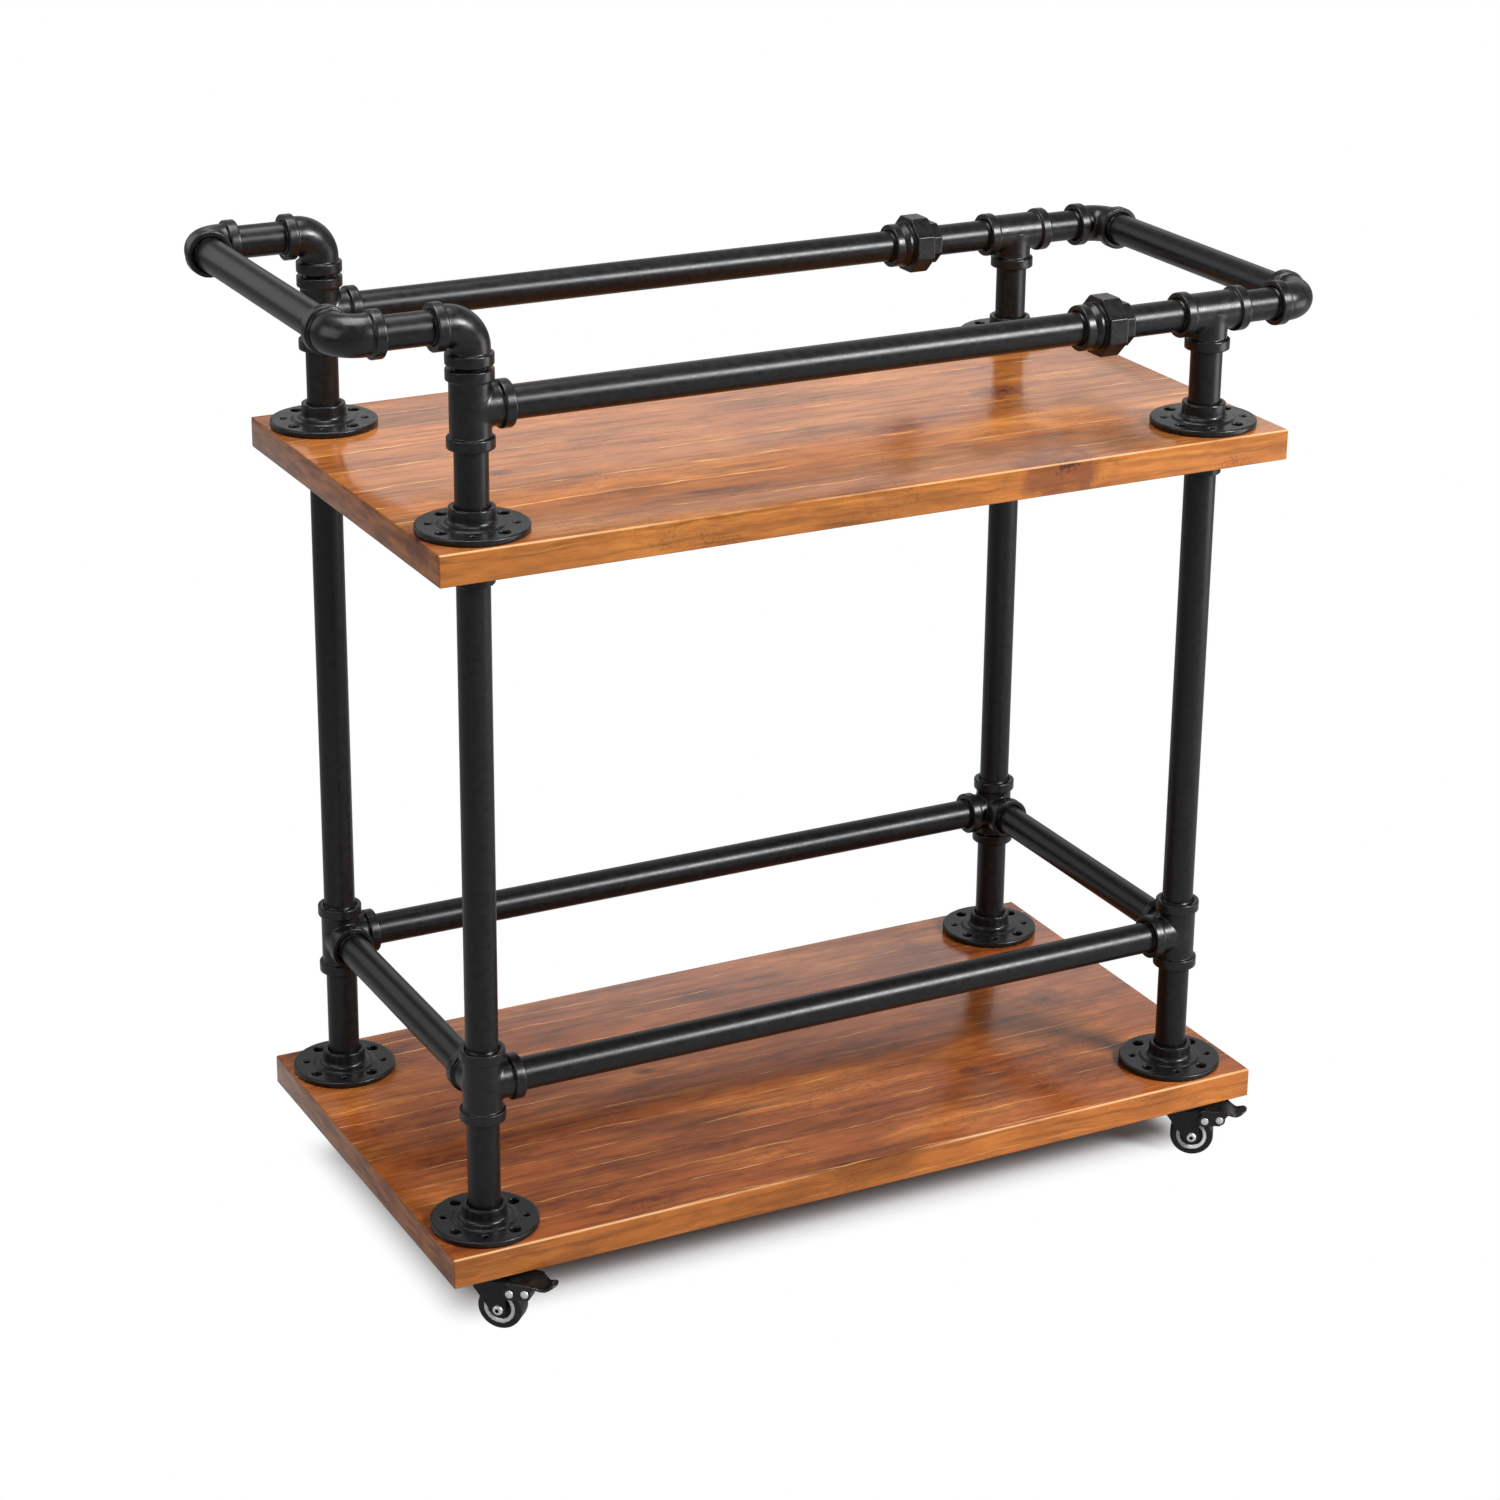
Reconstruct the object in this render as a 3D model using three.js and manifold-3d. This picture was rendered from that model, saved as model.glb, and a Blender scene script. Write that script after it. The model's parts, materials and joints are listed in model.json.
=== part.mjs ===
// Two-shelf bar cart: threaded pipe frame, laminated wooden shelves and swivel casters.
// Millimetres, +Z up. X runs along the cart with the push handle at -X, and Y runs from
// front to back. Each function makes one kind of piece; the end of the file puts them together.

import * as THREE from 'three';
import { mergeVertices } from 'three/addons/utils/BufferGeometryUtils.js';
import Module from 'manifold-3d';

const wasm = await Module();
wasm.setup();

// ---------------------------------------------------------------- driving dimensions

// Shelves: edge-glued staves that run along X.
const SHELF_LENGTH = 762;
const SHELF_DEPTH = 406;
const SHELF_THICKNESS = 26;
const SHELF_SPACING = 590; // from one top face to the other
const SHELF_EDGE_CHAMFER = 1.2;
const STAVE_COUNT = 7;
const STAVE_SEAM_WIDTH = 0.8;
const STAVE_SEAM_DEPTH = 0.4;

// Pipe: 3/4 inch nominal.
const PIPE_RADIUS = 13.35;
const PIPE_WALL = 2.9;

// Malleable fittings.
const FITTING_REACH = 31; // from a fitting's centre to its end face
const FITTING_BODY_RADIUS = 16.2;
const BAND_RADIUS = 18.8;
const BAND_WIDTH = 9;
const BAND_SHOULDER = 1.4;
const ELBOW_BEND_RADIUS = 19;
const THREAD_ENGAGEMENT = 10; // how far a pipe end goes into a fitting
const THREAD_GAP = 0.3; // radial, between a pipe and the socket it is screwed into

// Floor flanges.
const FLANGE_RADIUS = 44.5;
const FLANGE_DISC_THICKNESS = 5.2;
const FLANGE_HEIGHT = 19;
const FLANGE_HUB_RADIUS = 18.2;
const FLANGE_FILLET = 4;
const FLANGE_HOLE_COUNT = 8;
const FLANGE_HOLE_CIRCLE = 33.5;
const FLANGE_BOLT_HOLE_RADIUS = 4.6;
const FLANGE_SCREW_HOLE_RADIUS = 2.8;

// Collar at the head of each leg, under the top shelf.
const COLLAR_RADIUS = 17;
const COLLAR_LENGTH = 16;
const COLLAR_ENGAGEMENT = 11;
const SHELF_HOLE_GAP = 0.8; // radial, round the posts that pass through the top shelf

// Unions in the long rails.
const UNION_BAND_LENGTH = 8;
const UNION_BODY_LENGTH = 9;
const UNION_BODY_RADIUS = 21;
const UNION_NUT_LENGTH = 17;
const UNION_NUT_FLATS = 48; // across the flats
const UNION_NUT_SIDES = 8;
const UNION_NUT_CHAMFER = 2;
const UNION_TAIL_LENGTH = 11;
const UNION_TAIL_RADIUS = 18.4;
const UNION_TO_LEG = 105.5; // from the middle of the union to the right legs

// Frame layout.
const LEG_INSET_LEFT = 47;
const LEG_INSET_RIGHT = 54;
const LEG_INSET_SIDE = 47; // from the front and the back edge
const LOWER_RAIL_HEIGHT = 126; // above the bottom shelf's top face
const UPPER_RAIL_HEIGHT = 96; // above the top shelf's top face
const CLOSE_NIPPLE_LENGTH = 3; // the part that shows between tee and elbow
const HANDLE_REACH = 102; // from the left legs to the handle bar
const END_REACH = 94; // from the right legs to the end bar

// Clearance between pieces that are seated on each other.
const SEAT_GAP = 0.3;

// Casters. CASTER_HEIGHT is from the floor to the underside of the bottom shelf.
const CASTER_HEIGHT = 51;
const CASTER_INSET_LEFT = 40;
const CASTER_INSET_RIGHT = 56;
const CASTER_INSET_SIDE = 24;
const CASTER_TRAIL = 12; // from the swivel axis to the axle
const CASTER_TURN = { // degrees from trailing along +X, as they were last pushed
  front_left: -45,
  front_right: -36,
  back_left: -48,
  back_right: -40,
};
const PLATE_SIZE = 42;
const PLATE_THICKNESS = 2.2;
const PLATE_CORNER_RADIUS = 4;
const PLATE_HOLE_SPACING = 31;
const PLATE_HOLE_RADIUS = 2.3;
const RACE_RADIUS = 14;
const RACE_DEPTH = 2.6;
const KINGPIN_RADIUS = 3.6;
const KINGPIN_HEAD_RADIUS = 5.6;
const KINGPIN_HEAD_THICKNESS = 1.6;
const SWIVEL_GAP = 0.4;
const WHEEL_RADIUS = 19;
const WHEEL_WIDTH = 18;
const WHEEL_SHOULDER = 2;
const WHEEL_RIM_RADIUS = 13.4;
const WHEEL_HUB_RADIUS = 9.6;
const WHEEL_RECESS = 1.6;
const AXLE_RADIUS = 2.6;
const AXLE_GAP = 0.3;
const AXLE_HEAD_RADIUS = 4.4;
const AXLE_HEAD_THICKNESS = 2;
const CHEEK_GAP = 1; // between the wheel and each cheek of the fork
const FORK_SHEET = 2;
const FORK_TOE = 13; // how far the fork's crown reaches in front of the swivel axis
const FORK_HEEL = 20; // and behind it
const FORK_EYE_RADIUS = 8;
const PEDAL_PIVOT_BACK = 23; // from the swivel axis
const PEDAL_PIVOT_DROP = 14.4; // below the shelf
const PEDAL_PIN_RADIUS = 2.2;
const PEDAL_PIN_GAP = 0.3;
const PEDAL_SHEET = 1.8;
const PEDAL_SIDE_GAP = 0.4;
const PEDAL_EAR_RADIUS = 6;
const PEDAL_LUG_RADIUS = 4.5; // the fork's ear for the pedal's pin
const EYE_ARC = [190, 350]; // degrees round the axle that the cheek's edge follows
const LUG_ARC = [-10, 100]; // and round the pedal's pin
const EAR_ARC = [120, 290]; // degrees round the pin that the edge of the pedal's ear follows
const PEDAL_HEAD_RADIUS = 3.4;
const PEDAL_HEAD_THICKNESS = 1.2;
const PEDAL_REACH = 57; // from the swivel axis to the tip
const PEDAL_TREAD_DROP = 4.5; // from the shelf down to the top of the tread
const PEDAL_TREAD_LENGTH = 20;
const PEDAL_TREAD_THICKNESS = 2.4;
const PEDAL_DIP = 4.5; // of the tread before its upturned tip
const PEDAL_TIP_RISE = 3;
const PEDAL_TIP_WIDTH = 16;
const BRAKE_PAD_LENGTH = 5;
const BRAKE_PAD_WIDTH = 15;
const BRAKE_PAD_CLEARANCE = 1; // behind the wheel, pedal up
const BRAKE_PAD_DROP = 22; // from the shelf to the pad's lower edge

// How finely round forms are cut into flats.
const PIPE_SIDES = 12;
const BORE_SIDES = 6;
const DISC_SIDES = 16;
const WHEEL_SIDES = 16;
const PIN_SIDES = 6;
const HOLE_SIDES = 5;
const BEND_STEPS = 3;
const ARC_STEPS = 4;

// ---------------------------------------------------------------- finishes

function finish(color, roughness, metalness) {
  return { color, roughness, metalness };
}

const SATIN_BLACK_PIPE = finish(0x222224, 0.5, 0.6);
const SATIN_BLACK_CASTING = finish(0x1f1f21, 0.55, 0.6);
const LACQUERED_WOOD = finish(0x9c5429, 0.3, 0);
const BLACK_STEEL = finish(0x18181a, 0.45, 0.6);
const BLACK_RUBBER = finish(0x1c1c1e, 0.6, 0);
const BLACK_NYLON = finish(0x161618, 0.5, 0);

// ---------------------------------------------------------------- working in solids

const WELD_DISTANCE = 1e-4; // corners closer than this are one
const DRILL_OVERRUN = 1; // how far a drill stands out of what it drills

const X_AXIS = new THREE.Vector3(1, 0, 0);
const Y_AXIS = new THREE.Vector3(0, 1, 0);
const Z_AXIS = new THREE.Vector3(0, 0, 1);

function solidOf(geometry) {
  const bare = geometry.clone();
  bare.deleteAttribute('normal');
  bare.deleteAttribute('uv');
  const merged = mergeVertices(bare, WELD_DISTANCE);
  return new wasm.Manifold(new wasm.Mesh({
    numProp: 3,
    vertProperties: merged.attributes.position.array,
    triVerts: new Uint32Array(merged.index.array),
  }));
}

function geometryOf(solid) {
  const mesh = solid.getMesh();
  const geometry = new THREE.BufferGeometry();
  geometry.setAttribute('position', new THREE.BufferAttribute(mesh.vertProperties, 3));
  geometry.setIndex(new THREE.BufferAttribute(mesh.triVerts, 1));
  return geometry;
}

// The corners' radius of a many-sided round whose flats lie at the given radius.
function cornerRadius(radius, sides) {
  return radius / Math.cos(Math.PI / sides);
}

// A round of points about (x, y), whose flats lie at the given radius.
function roundOutline(radius, sides, x = 0, y = 0) {
  const corner = cornerRadius(radius, sides);
  return Array.from({ length: sides }, (_, i) => {
    const angle = ((i + 0.5) / sides) * 2 * Math.PI;
    return new THREE.Vector2(x + corner * Math.cos(angle), y + corner * Math.sin(angle));
  });
}

// An arc of points about (x, y), anticlockwise from one angle to the other.
function arc(x, y, radius, fromDegrees, toDegrees) {
  return Array.from({ length: ARC_STEPS + 1 }, (_, i) => {
    const angle = THREE.MathUtils.degToRad(THREE.MathUtils.lerp(fromDegrees, toDegrees, i / ARC_STEPS));
    return new THREE.Vector2(x + radius * Math.cos(angle), y + radius * Math.sin(angle));
  });
}

function points(pairs) {
  return pairs.map(([x, y]) => new THREE.Vector2(x, y));
}

function joined(geometries) {
  return geometries.map(solidOf).reduce((whole, solid) => whole.add(solid));
}

// A ring of outline points, extruded along +Z from the origin.
function prism(outline, height, holes = []) {
  const shape = new THREE.Shape(outline);
  shape.holes = holes.map((hole) => new THREE.Path(hole));
  return new THREE.ExtrudeGeometry(shape, { depth: height, bevelEnabled: false });
}

function rod(radius, height, sides = PIPE_SIDES) {
  return prism(roundOutline(radius, sides), height);
}

// What a drill takes out along Z, from one height to another and a little past both.
function drilled(radius, fromZ, toZ) {
  const height = toZ - fromZ + 2 * DRILL_OVERRUN;
  return solidOf(rod(radius, height).translate(0, 0, fromZ - DRILL_OVERRUN));
}

// A round wall about a path. Each station is [place along the path, radius], and the
// stations go round the wall's section: out along the outside and back along the bore.
// frameAt(place) gives the path's point and two directions across it.
function wallAlong(frameAt, stations, sides = PIPE_SIDES) {
  const positions = [];
  const index = [];
  for (const [place, radius] of stations) {
    const { point, across, up } = frameAt(place);
    for (const spot of roundOutline(radius, sides)) {
      const corner = point.clone().addScaledVector(across, spot.x).addScaledVector(up, spot.y);
      positions.push(corner.x, corner.y, corner.z);
    }
  }
  stations.forEach((_, i) => {
    const ring = i * sides;
    const nextRing = ((i + 1) % stations.length) * sides;
    for (let j = 0; j < sides; j += 1) {
      const k = (j + 1) % sides;
      index.push(ring + j, ring + k, nextRing + k);
      index.push(ring + j, nextRing + k, nextRing + j);
    }
  });
  const geometry = new THREE.BufferGeometry();
  geometry.setAttribute('position', new THREE.Float32BufferAttribute(positions, 3));
  geometry.setIndex(index);
  return geometry;
}

// A round wall about the Z axis.
function turned(stations, sides = PIPE_SIDES) {
  const frameAt = (place) => ({
    point: new THREE.Vector3(0, 0, place),
    across: X_AXIS,
    up: Y_AXIS,
  });
  return wallAlong(frameAt, stations, sides);
}

function toX(geometry) {
  return geometry.rotateY(Math.PI / 2);
}

// ---------------------------------------------------------------- the cart

const cart = new THREE.Group();
cart.name = 'bar_cart';

// Puts a piece at a place, with its own x and y directions turned to the given ones.
function place(group, name, geometry, look, at, xDir = X_AXIS, yDir = Y_AXIS) {
  const mesh = new THREE.Mesh(geometry, new THREE.MeshStandardMaterial(look));
  const zDir = new THREE.Vector3().crossVectors(xDir, yDir);
  mesh.name = name;
  mesh.quaternion.setFromRotationMatrix(new THREE.Matrix4().makeBasis(xDir, yDir, zDir));
  mesh.position.copy(at);
  group.add(mesh);
  return mesh;
}

// ---------------------------------------------------------------- shelves

function shelfGeometry(holes) {
  const half = { x: SHELF_LENGTH / 2, y: SHELF_DEPTH / 2 };
  const c = SHELF_EDGE_CHAMFER;
  const top = SHELF_THICKNESS;
  const boxSection = (reach) => [
    [-reach + c, 0], [reach - c, 0], [reach, c], [reach, top - c], [reach - c, top],
  ];

  // Across the staves, with a fine V along each seam of the top face.
  const across = boxSection(half.y);
  const staveWidth = SHELF_DEPTH / STAVE_COUNT;
  for (let i = STAVE_COUNT - 1; i > 0; i -= 1) {
    const seam = -half.y + i * staveWidth;
    across.push([seam + STAVE_SEAM_WIDTH / 2, top]);
    across.push([seam, top - STAVE_SEAM_DEPTH]);
    across.push([seam - STAVE_SEAM_WIDTH / 2, top]);
  }
  across.push([-half.y + c, top], [-half.y, top - c], [-half.y, c]);

  const along = boxSection(half.x);
  along.push([-half.x + c, top], [-half.x, top - c], [-half.x, c]);

  const outline = (points) => points.map(([a, b]) => new THREE.Vector2(a, b));
  const staves = prism(outline(across), SHELF_LENGTH);
  staves.rotateX(Math.PI / 2).rotateZ(Math.PI / 2).translate(-half.x, 0, 0);
  const ends = prism(outline(along), SHELF_DEPTH);
  ends.rotateX(Math.PI / 2).translate(0, half.y, 0);

  let board = solidOf(staves).intersect(solidOf(ends));
  for (const hole of holes) {
    const drill = drilled(PIPE_RADIUS + SHELF_HOLE_GAP, 0, SHELF_THICKNESS);
    board = board.subtract(drill.translate([hole.x, hole.y, 0]));
  }
  return geometryOf(board);
}

// ---------------------------------------------------------------- pipe

// A pipe from one point to another.
function pipe(name, from, to) {
  const run = new THREE.Vector3().subVectors(to, from);
  const length = run.length();
  const bore = roundOutline(PIPE_RADIUS - PIPE_WALL, BORE_SIDES);
  const wall = prism(roundOutline(PIPE_RADIUS, PIPE_SIDES), length, [bore]);
  const along = run.normalize();
  const side = new THREE.Vector3(along.z, along.x, along.y);
  place(cart, name, toX(wall), SATIN_BLACK_PIPE, from, along, side);
}

// A pipe screwed into the fittings at its two ends, given the fittings' centres.
function pipeBetween(name, fittingA, fittingB) {
  const along = new THREE.Vector3().subVectors(fittingB, fittingA).normalize();
  const start = FITTING_REACH - THREAD_ENGAGEMENT;
  const from = fittingA.clone().addScaledVector(along, start);
  const to = fittingB.clone().addScaledVector(along, -start);
  return pipe(name, from, to);
}

// A leg hangs from z = 0, with the collar that takes the post above it.
function legGeometry(length) {
  const bore = PIPE_RADIUS - PIPE_WALL;
  const socket = PIPE_RADIUS + THREAD_GAP;
  const socketFloor = -COLLAR_ENGAGEMENT - SEAT_GAP;
  return turned([
    [0, COLLAR_RADIUS],
    [0, socket],
    [socketFloor, socket],
    [socketFloor, bore],
    [-length, bore],
    [-length, PIPE_RADIUS],
    [-COLLAR_LENGTH - BAND_SHOULDER, PIPE_RADIUS],
    [-COLLAR_LENGTH, COLLAR_RADIUS],
  ]);
}

// ---------------------------------------------------------------- floor flange

// A disc with a ring of holes, by turns for bolts and for screws, and a threaded hub.
function flangeGeometry() {
  const bore = PIPE_RADIUS + THREAD_GAP;
  const holes = Array.from({ length: FLANGE_HOLE_COUNT }, (_, i) => {
    const angle = ((i + 0.5) / FLANGE_HOLE_COUNT) * 2 * Math.PI;
    const radius = i % 2 === 0 ? FLANGE_BOLT_HOLE_RADIUS : FLANGE_SCREW_HOLE_RADIUS;
    const x = FLANGE_HOLE_CIRCLE * Math.cos(angle);
    const y = FLANGE_HOLE_CIRCLE * Math.sin(angle);
    return roundOutline(radius, HOLE_SIDES, x, y);
  });
  const disc = prism(roundOutline(FLANGE_RADIUS, DISC_SIDES), FLANGE_DISC_THICKNESS, holes);
  const core = bore / 2; // cast solid enough to be drilled
  const hub = turned([
    [FLANGE_DISC_THICKNESS / 2, core],
    [FLANGE_DISC_THICKNESS / 2, FLANGE_HUB_RADIUS + FLANGE_FILLET],
    [FLANGE_DISC_THICKNESS, FLANGE_HUB_RADIUS + FLANGE_FILLET],
    [FLANGE_DISC_THICKNESS + FLANGE_FILLET, FLANGE_HUB_RADIUS],
    [FLANGE_HEIGHT, FLANGE_HUB_RADIUS],
    [FLANGE_HEIGHT, core],
  ]);
  const drill = drilled(bore, 0, FLANGE_HEIGHT);
  return geometryOf(solidOf(disc).add(solidOf(hub)).subtract(drill));
}

// ---------------------------------------------------------------- threaded fittings

const SOCKET_RADIUS = PIPE_RADIUS + THREAD_GAP;

// One end of a fitting, from its body out to the end face, banded against splitting.
function bandedEnd(endFace) {
  return [
    [endFace - BAND_WIDTH - BAND_SHOULDER, FITTING_BODY_RADIUS],
    [endFace - BAND_WIDTH, BAND_RADIUS],
    [endFace, BAND_RADIUS],
  ];
}

// A tee: the run lies along Z and the branches point along the given directions.
function teeGeometry(branches) {
  const reach = FITTING_REACH;
  const end = bandedEnd(reach);
  const mirrored = end.map(([along, radius]) => [-along, radius]).reverse();
  const run = [...mirrored, ...end, [reach, SOCKET_RADIUS], [-reach, SOCKET_RADIUS]];
  const branch = [[0, FITTING_BODY_RADIUS], ...end, [reach, SOCKET_RADIUS], [0, SOCKET_RADIUS]];
  const turnTo = (geometry, direction) => geometry.applyQuaternion(
    new THREE.Quaternion().setFromUnitVectors(Z_AXIS, direction),
  );

  let fitting = solidOf(turned(run));
  for (const direction of branches) {
    fitting = fitting.add(solidOf(turnTo(turned(branch), direction)));
  }
  fitting = fitting.subtract(drilled(SOCKET_RADIUS, -reach, reach));
  for (const direction of branches) {
    const branchDrill = turnTo(rod(SOCKET_RADIUS, reach + DRILL_OVERRUN), direction);
    fitting = fitting.subtract(solidOf(branchDrill));
  }
  return geometryOf(fitting);
}

// An elbow from +X to +Y, with a nipple screwed tight into its +X socket. The nipple
// reaches nippleEnd from the elbow's centre.
function elbowGeometry(nippleEnd) {
  const bend = ELBOW_BEND_RADIUS;
  const straight = FITTING_REACH - bend;
  const pipeBore = PIPE_RADIUS - PIPE_WALL;

  // Places run from -straight on the first leg, through 0 to 1 in the bend, to
  // 1 + straight on the second leg.
  const frameAt = (u) => {
    const angle = THREE.MathUtils.clamp(u, 0, 1) * (Math.PI / 2);
    const point = new THREE.Vector3(
      bend * (1 - Math.sin(angle)) + Math.max(-u, 0),
      bend * (1 - Math.cos(angle)) + Math.max(u - 1, 0),
      0,
    );
    const across = new THREE.Vector3(Math.sin(angle), Math.cos(angle), 0);
    return { point, across, up: new THREE.Vector3(0, 0, -1) };
  };
  const onFirstLeg = (fromCentre) => bend - fromCentre;
  const onSecondLeg = (fromCentre) => 1 + fromCentre - bend;
  const bandFoot = FITTING_REACH - BAND_WIDTH;

  const outside = [
    [onFirstLeg(nippleEnd), PIPE_RADIUS],
    [-straight, PIPE_RADIUS],
    [-straight, BAND_RADIUS],
    [onFirstLeg(bandFoot), BAND_RADIUS],
  ];
  for (let i = 0; i <= BEND_STEPS; i += 1) {
    outside.push([i / BEND_STEPS, FITTING_BODY_RADIUS]);
  }
  outside.push([onSecondLeg(bandFoot), BAND_RADIUS], [1 + straight, BAND_RADIUS]);

  const inside = [
    [1 + straight, SOCKET_RADIUS],
    [1, SOCKET_RADIUS],
    [0.5, pipeBore],
    [0, pipeBore],
    [onFirstLeg(nippleEnd), pipeBore],
  ];
  return wallAlong(frameAt, [...outside, ...inside]);
}

// A union along X: a banded end, the eight-sided nut and the tail, with a nipple screwed
// tight into the tail. The nipple reaches nippleEnd from the union's middle.
const UNION_LENGTH = UNION_BAND_LENGTH + UNION_BODY_LENGTH + UNION_NUT_LENGTH + UNION_TAIL_LENGTH;

function unionGeometry(nippleEnd) {
  const start = -UNION_LENGTH / 2;
  const bodyStart = start + UNION_BAND_LENGTH;
  const nutStart = bodyStart + UNION_BODY_LENGTH;
  const nutEnd = nutStart + UNION_NUT_LENGTH;
  const tailEnd = nutEnd + UNION_TAIL_LENGTH;
  const socketFloor = start + THREAD_ENGAGEMENT + SEAT_GAP;
  const pipeBore = PIPE_RADIUS - PIPE_WALL;
  const body = turned([
    [start, BAND_RADIUS],
    [bodyStart, BAND_RADIUS],
    [bodyStart + BAND_SHOULDER, FITTING_BODY_RADIUS],
    [nutStart - BAND_SHOULDER, UNION_BODY_RADIUS],
    [nutStart + UNION_NUT_CHAMFER, UNION_BODY_RADIUS],
    [nutStart + UNION_NUT_CHAMFER, UNION_TAIL_RADIUS],
    [tailEnd, UNION_TAIL_RADIUS],
    [tailEnd, PIPE_RADIUS],
    [nippleEnd, PIPE_RADIUS],
    [nippleEnd, pipeBore],
    [socketFloor, pipeBore],
    [socketFloor, SOCKET_RADIUS],
    [start, SOCKET_RADIUS],
  ]);

  const flats = UNION_NUT_FLATS / 2;
  const nut = turned([
    [nutStart, UNION_TAIL_RADIUS],
    [nutStart, flats - UNION_NUT_CHAMFER],
    [nutStart + UNION_NUT_CHAMFER, flats],
    [nutEnd - UNION_NUT_CHAMFER, flats],
    [nutEnd, flats - UNION_NUT_CHAMFER],
    [nutEnd, UNION_TAIL_RADIUS],
  ], UNION_NUT_SIDES);
  return toX(geometryOf(joined([body, nut])));
}

// ---------------------------------------------------------------- caster

// Caster pieces share one frame: z = 0 at the top of the plate, the swivel axis on Z, and
// the wheel trailing along +X.
const CROWN_TOP = -PLATE_THICKNESS - RACE_DEPTH - SWIVEL_GAP;
const AXLE_DROP = WHEEL_RADIUS - CASTER_HEIGHT;
const CHEEK_INSIDE = WHEEL_WIDTH / 2 + CHEEK_GAP;
const CHEEK_OUTSIDE = CHEEK_INSIDE + FORK_SHEET;
const EAR_INSIDE = CHEEK_OUTSIDE + PEDAL_SIDE_GAP;
const EAR_OUTSIDE = EAR_INSIDE + PEDAL_SHEET;

// A sheet drawn in side view (x, z), between two values of y.
function sideSheet(outline, fromY, toY, holes = []) {
  return prism(outline, toY - fromY, holes).rotateX(Math.PI / 2).translate(0, toY, 0);
}

// A pin along Y.
function crossPin(x, z, radius, fromY, toY) {
  return sideSheet(roundOutline(radius, PIN_SIDES, x, z), fromY, toY);
}

function plateGeometry() {
  const raceTop = -PLATE_THICKNESS;
  const headTop = CROWN_TOP - FORK_SHEET - SWIVEL_GAP;
  const half = PLATE_SIZE / 2;
  const cut = half - PLATE_CORNER_RADIUS;
  const outline = points([
    [cut, -half], [half, -cut], [half, cut], [cut, half],
    [-cut, half], [-half, cut], [-half, -cut], [-cut, -half],
  ]);
  const offset = PLATE_HOLE_SPACING / 2;
  const holes = [[1, 1], [-1, 1], [-1, -1], [1, -1]].map(
    ([x, y]) => roundOutline(PLATE_HOLE_RADIUS, HOLE_SIDES, x * offset, y * offset),
  );
  const kingpinHeight = raceTop - headTop;
  return geometryOf(joined([
    prism(outline, PLATE_THICKNESS, holes).translate(0, 0, raceTop),
    rod(RACE_RADIUS, RACE_DEPTH).translate(0, 0, raceTop - RACE_DEPTH),
    rod(KINGPIN_RADIUS, kingpinHeight, PIN_SIDES).translate(0, 0, headTop),
    rod(KINGPIN_HEAD_RADIUS, KINGPIN_HEAD_THICKNESS, PIN_SIDES)
      .translate(0, 0, headTop - KINGPIN_HEAD_THICKNESS),
  ]));
}

// Two cheeks under a crown, with the wheel's axle and, on a braked caster, the pedal's pins.
function forkGeometry(takesPedal) {
  const crownFloor = CROWN_TOP - FORK_SHEET;
  const cheekOutline = [
    ...points([[-FORK_TOE, CROWN_TOP], [-FORK_TOE, crownFloor - FORK_SHEET]]),
    ...arc(CASTER_TRAIL, AXLE_DROP, FORK_EYE_RADIUS, ...EYE_ARC),
    ...arc(PEDAL_PIVOT_BACK, -PEDAL_PIVOT_DROP, PEDAL_LUG_RADIUS, ...LUG_ARC),
    ...points([[FORK_HEEL, CROWN_TOP]]),
  ];
  const crownOutline = points([
    [-FORK_TOE, -CHEEK_OUTSIDE], [FORK_HEEL, -CHEEK_OUTSIDE],
    [FORK_HEEL, CHEEK_OUTSIDE], [-FORK_TOE, CHEEK_OUTSIDE],
  ]);
  const kingpinCorner = cornerRadius(KINGPIN_RADIUS, PIN_SIDES);
  const kingpinHole = roundOutline(kingpinCorner + SWIVEL_GAP, PIN_SIDES);
  const pieces = [
    prism(crownOutline, FORK_SHEET, [kingpinHole]).translate(0, 0, crownFloor),
    crossPin(CASTER_TRAIL, AXLE_DROP, AXLE_RADIUS, -CHEEK_OUTSIDE, CHEEK_OUTSIDE),
  ];
  const onBothSides = (makePiece, near, far) => {
    pieces.push(makePiece(near, far), makePiece(-far, -near));
  };
  const axleHead = (from, to) => crossPin(CASTER_TRAIL, AXLE_DROP, AXLE_HEAD_RADIUS, from, to);
  onBothSides((from, to) => sideSheet(cheekOutline, from, to), CHEEK_INSIDE, CHEEK_OUTSIDE);
  onBothSides(axleHead, CHEEK_INSIDE, CHEEK_OUTSIDE + AXLE_HEAD_THICKNESS);
  if (takesPedal) {
    const pin = (radius) => (from, to) => crossPin(PEDAL_PIVOT_BACK, -PEDAL_PIVOT_DROP, radius, from, to);
    const headInside = EAR_OUTSIDE + SWIVEL_GAP;
    const headOutside = headInside + PEDAL_HEAD_THICKNESS;
    onBothSides(pin(PEDAL_PIN_RADIUS), CHEEK_INSIDE, headOutside);
    onBothSides(pin(PEDAL_HEAD_RADIUS), headInside, headOutside);
  }
  return geometryOf(joined(pieces));
}

function wheelGeometry() {
  const half = WHEEL_WIDTH / 2;
  const face = half - WHEEL_RECESS;
  const bore = cornerRadius(AXLE_RADIUS, PIN_SIDES) + AXLE_GAP;
  const side = [
    [half - WHEEL_SHOULDER, WHEEL_RADIUS],
    [half, WHEEL_RADIUS - WHEEL_SHOULDER],
    [half, WHEEL_RIM_RADIUS],
    [face, WHEEL_HUB_RADIUS],
    [face, bore],
  ];
  const otherSide = side.map(([along, radius]) => [-along, radius]).reverse();
  const wall = turned([...otherSide, ...side], WHEEL_SIDES);
  return wall.rotateX(Math.PI / 2).translate(CASTER_TRAIL, 0, AXLE_DROP);
}

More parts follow.
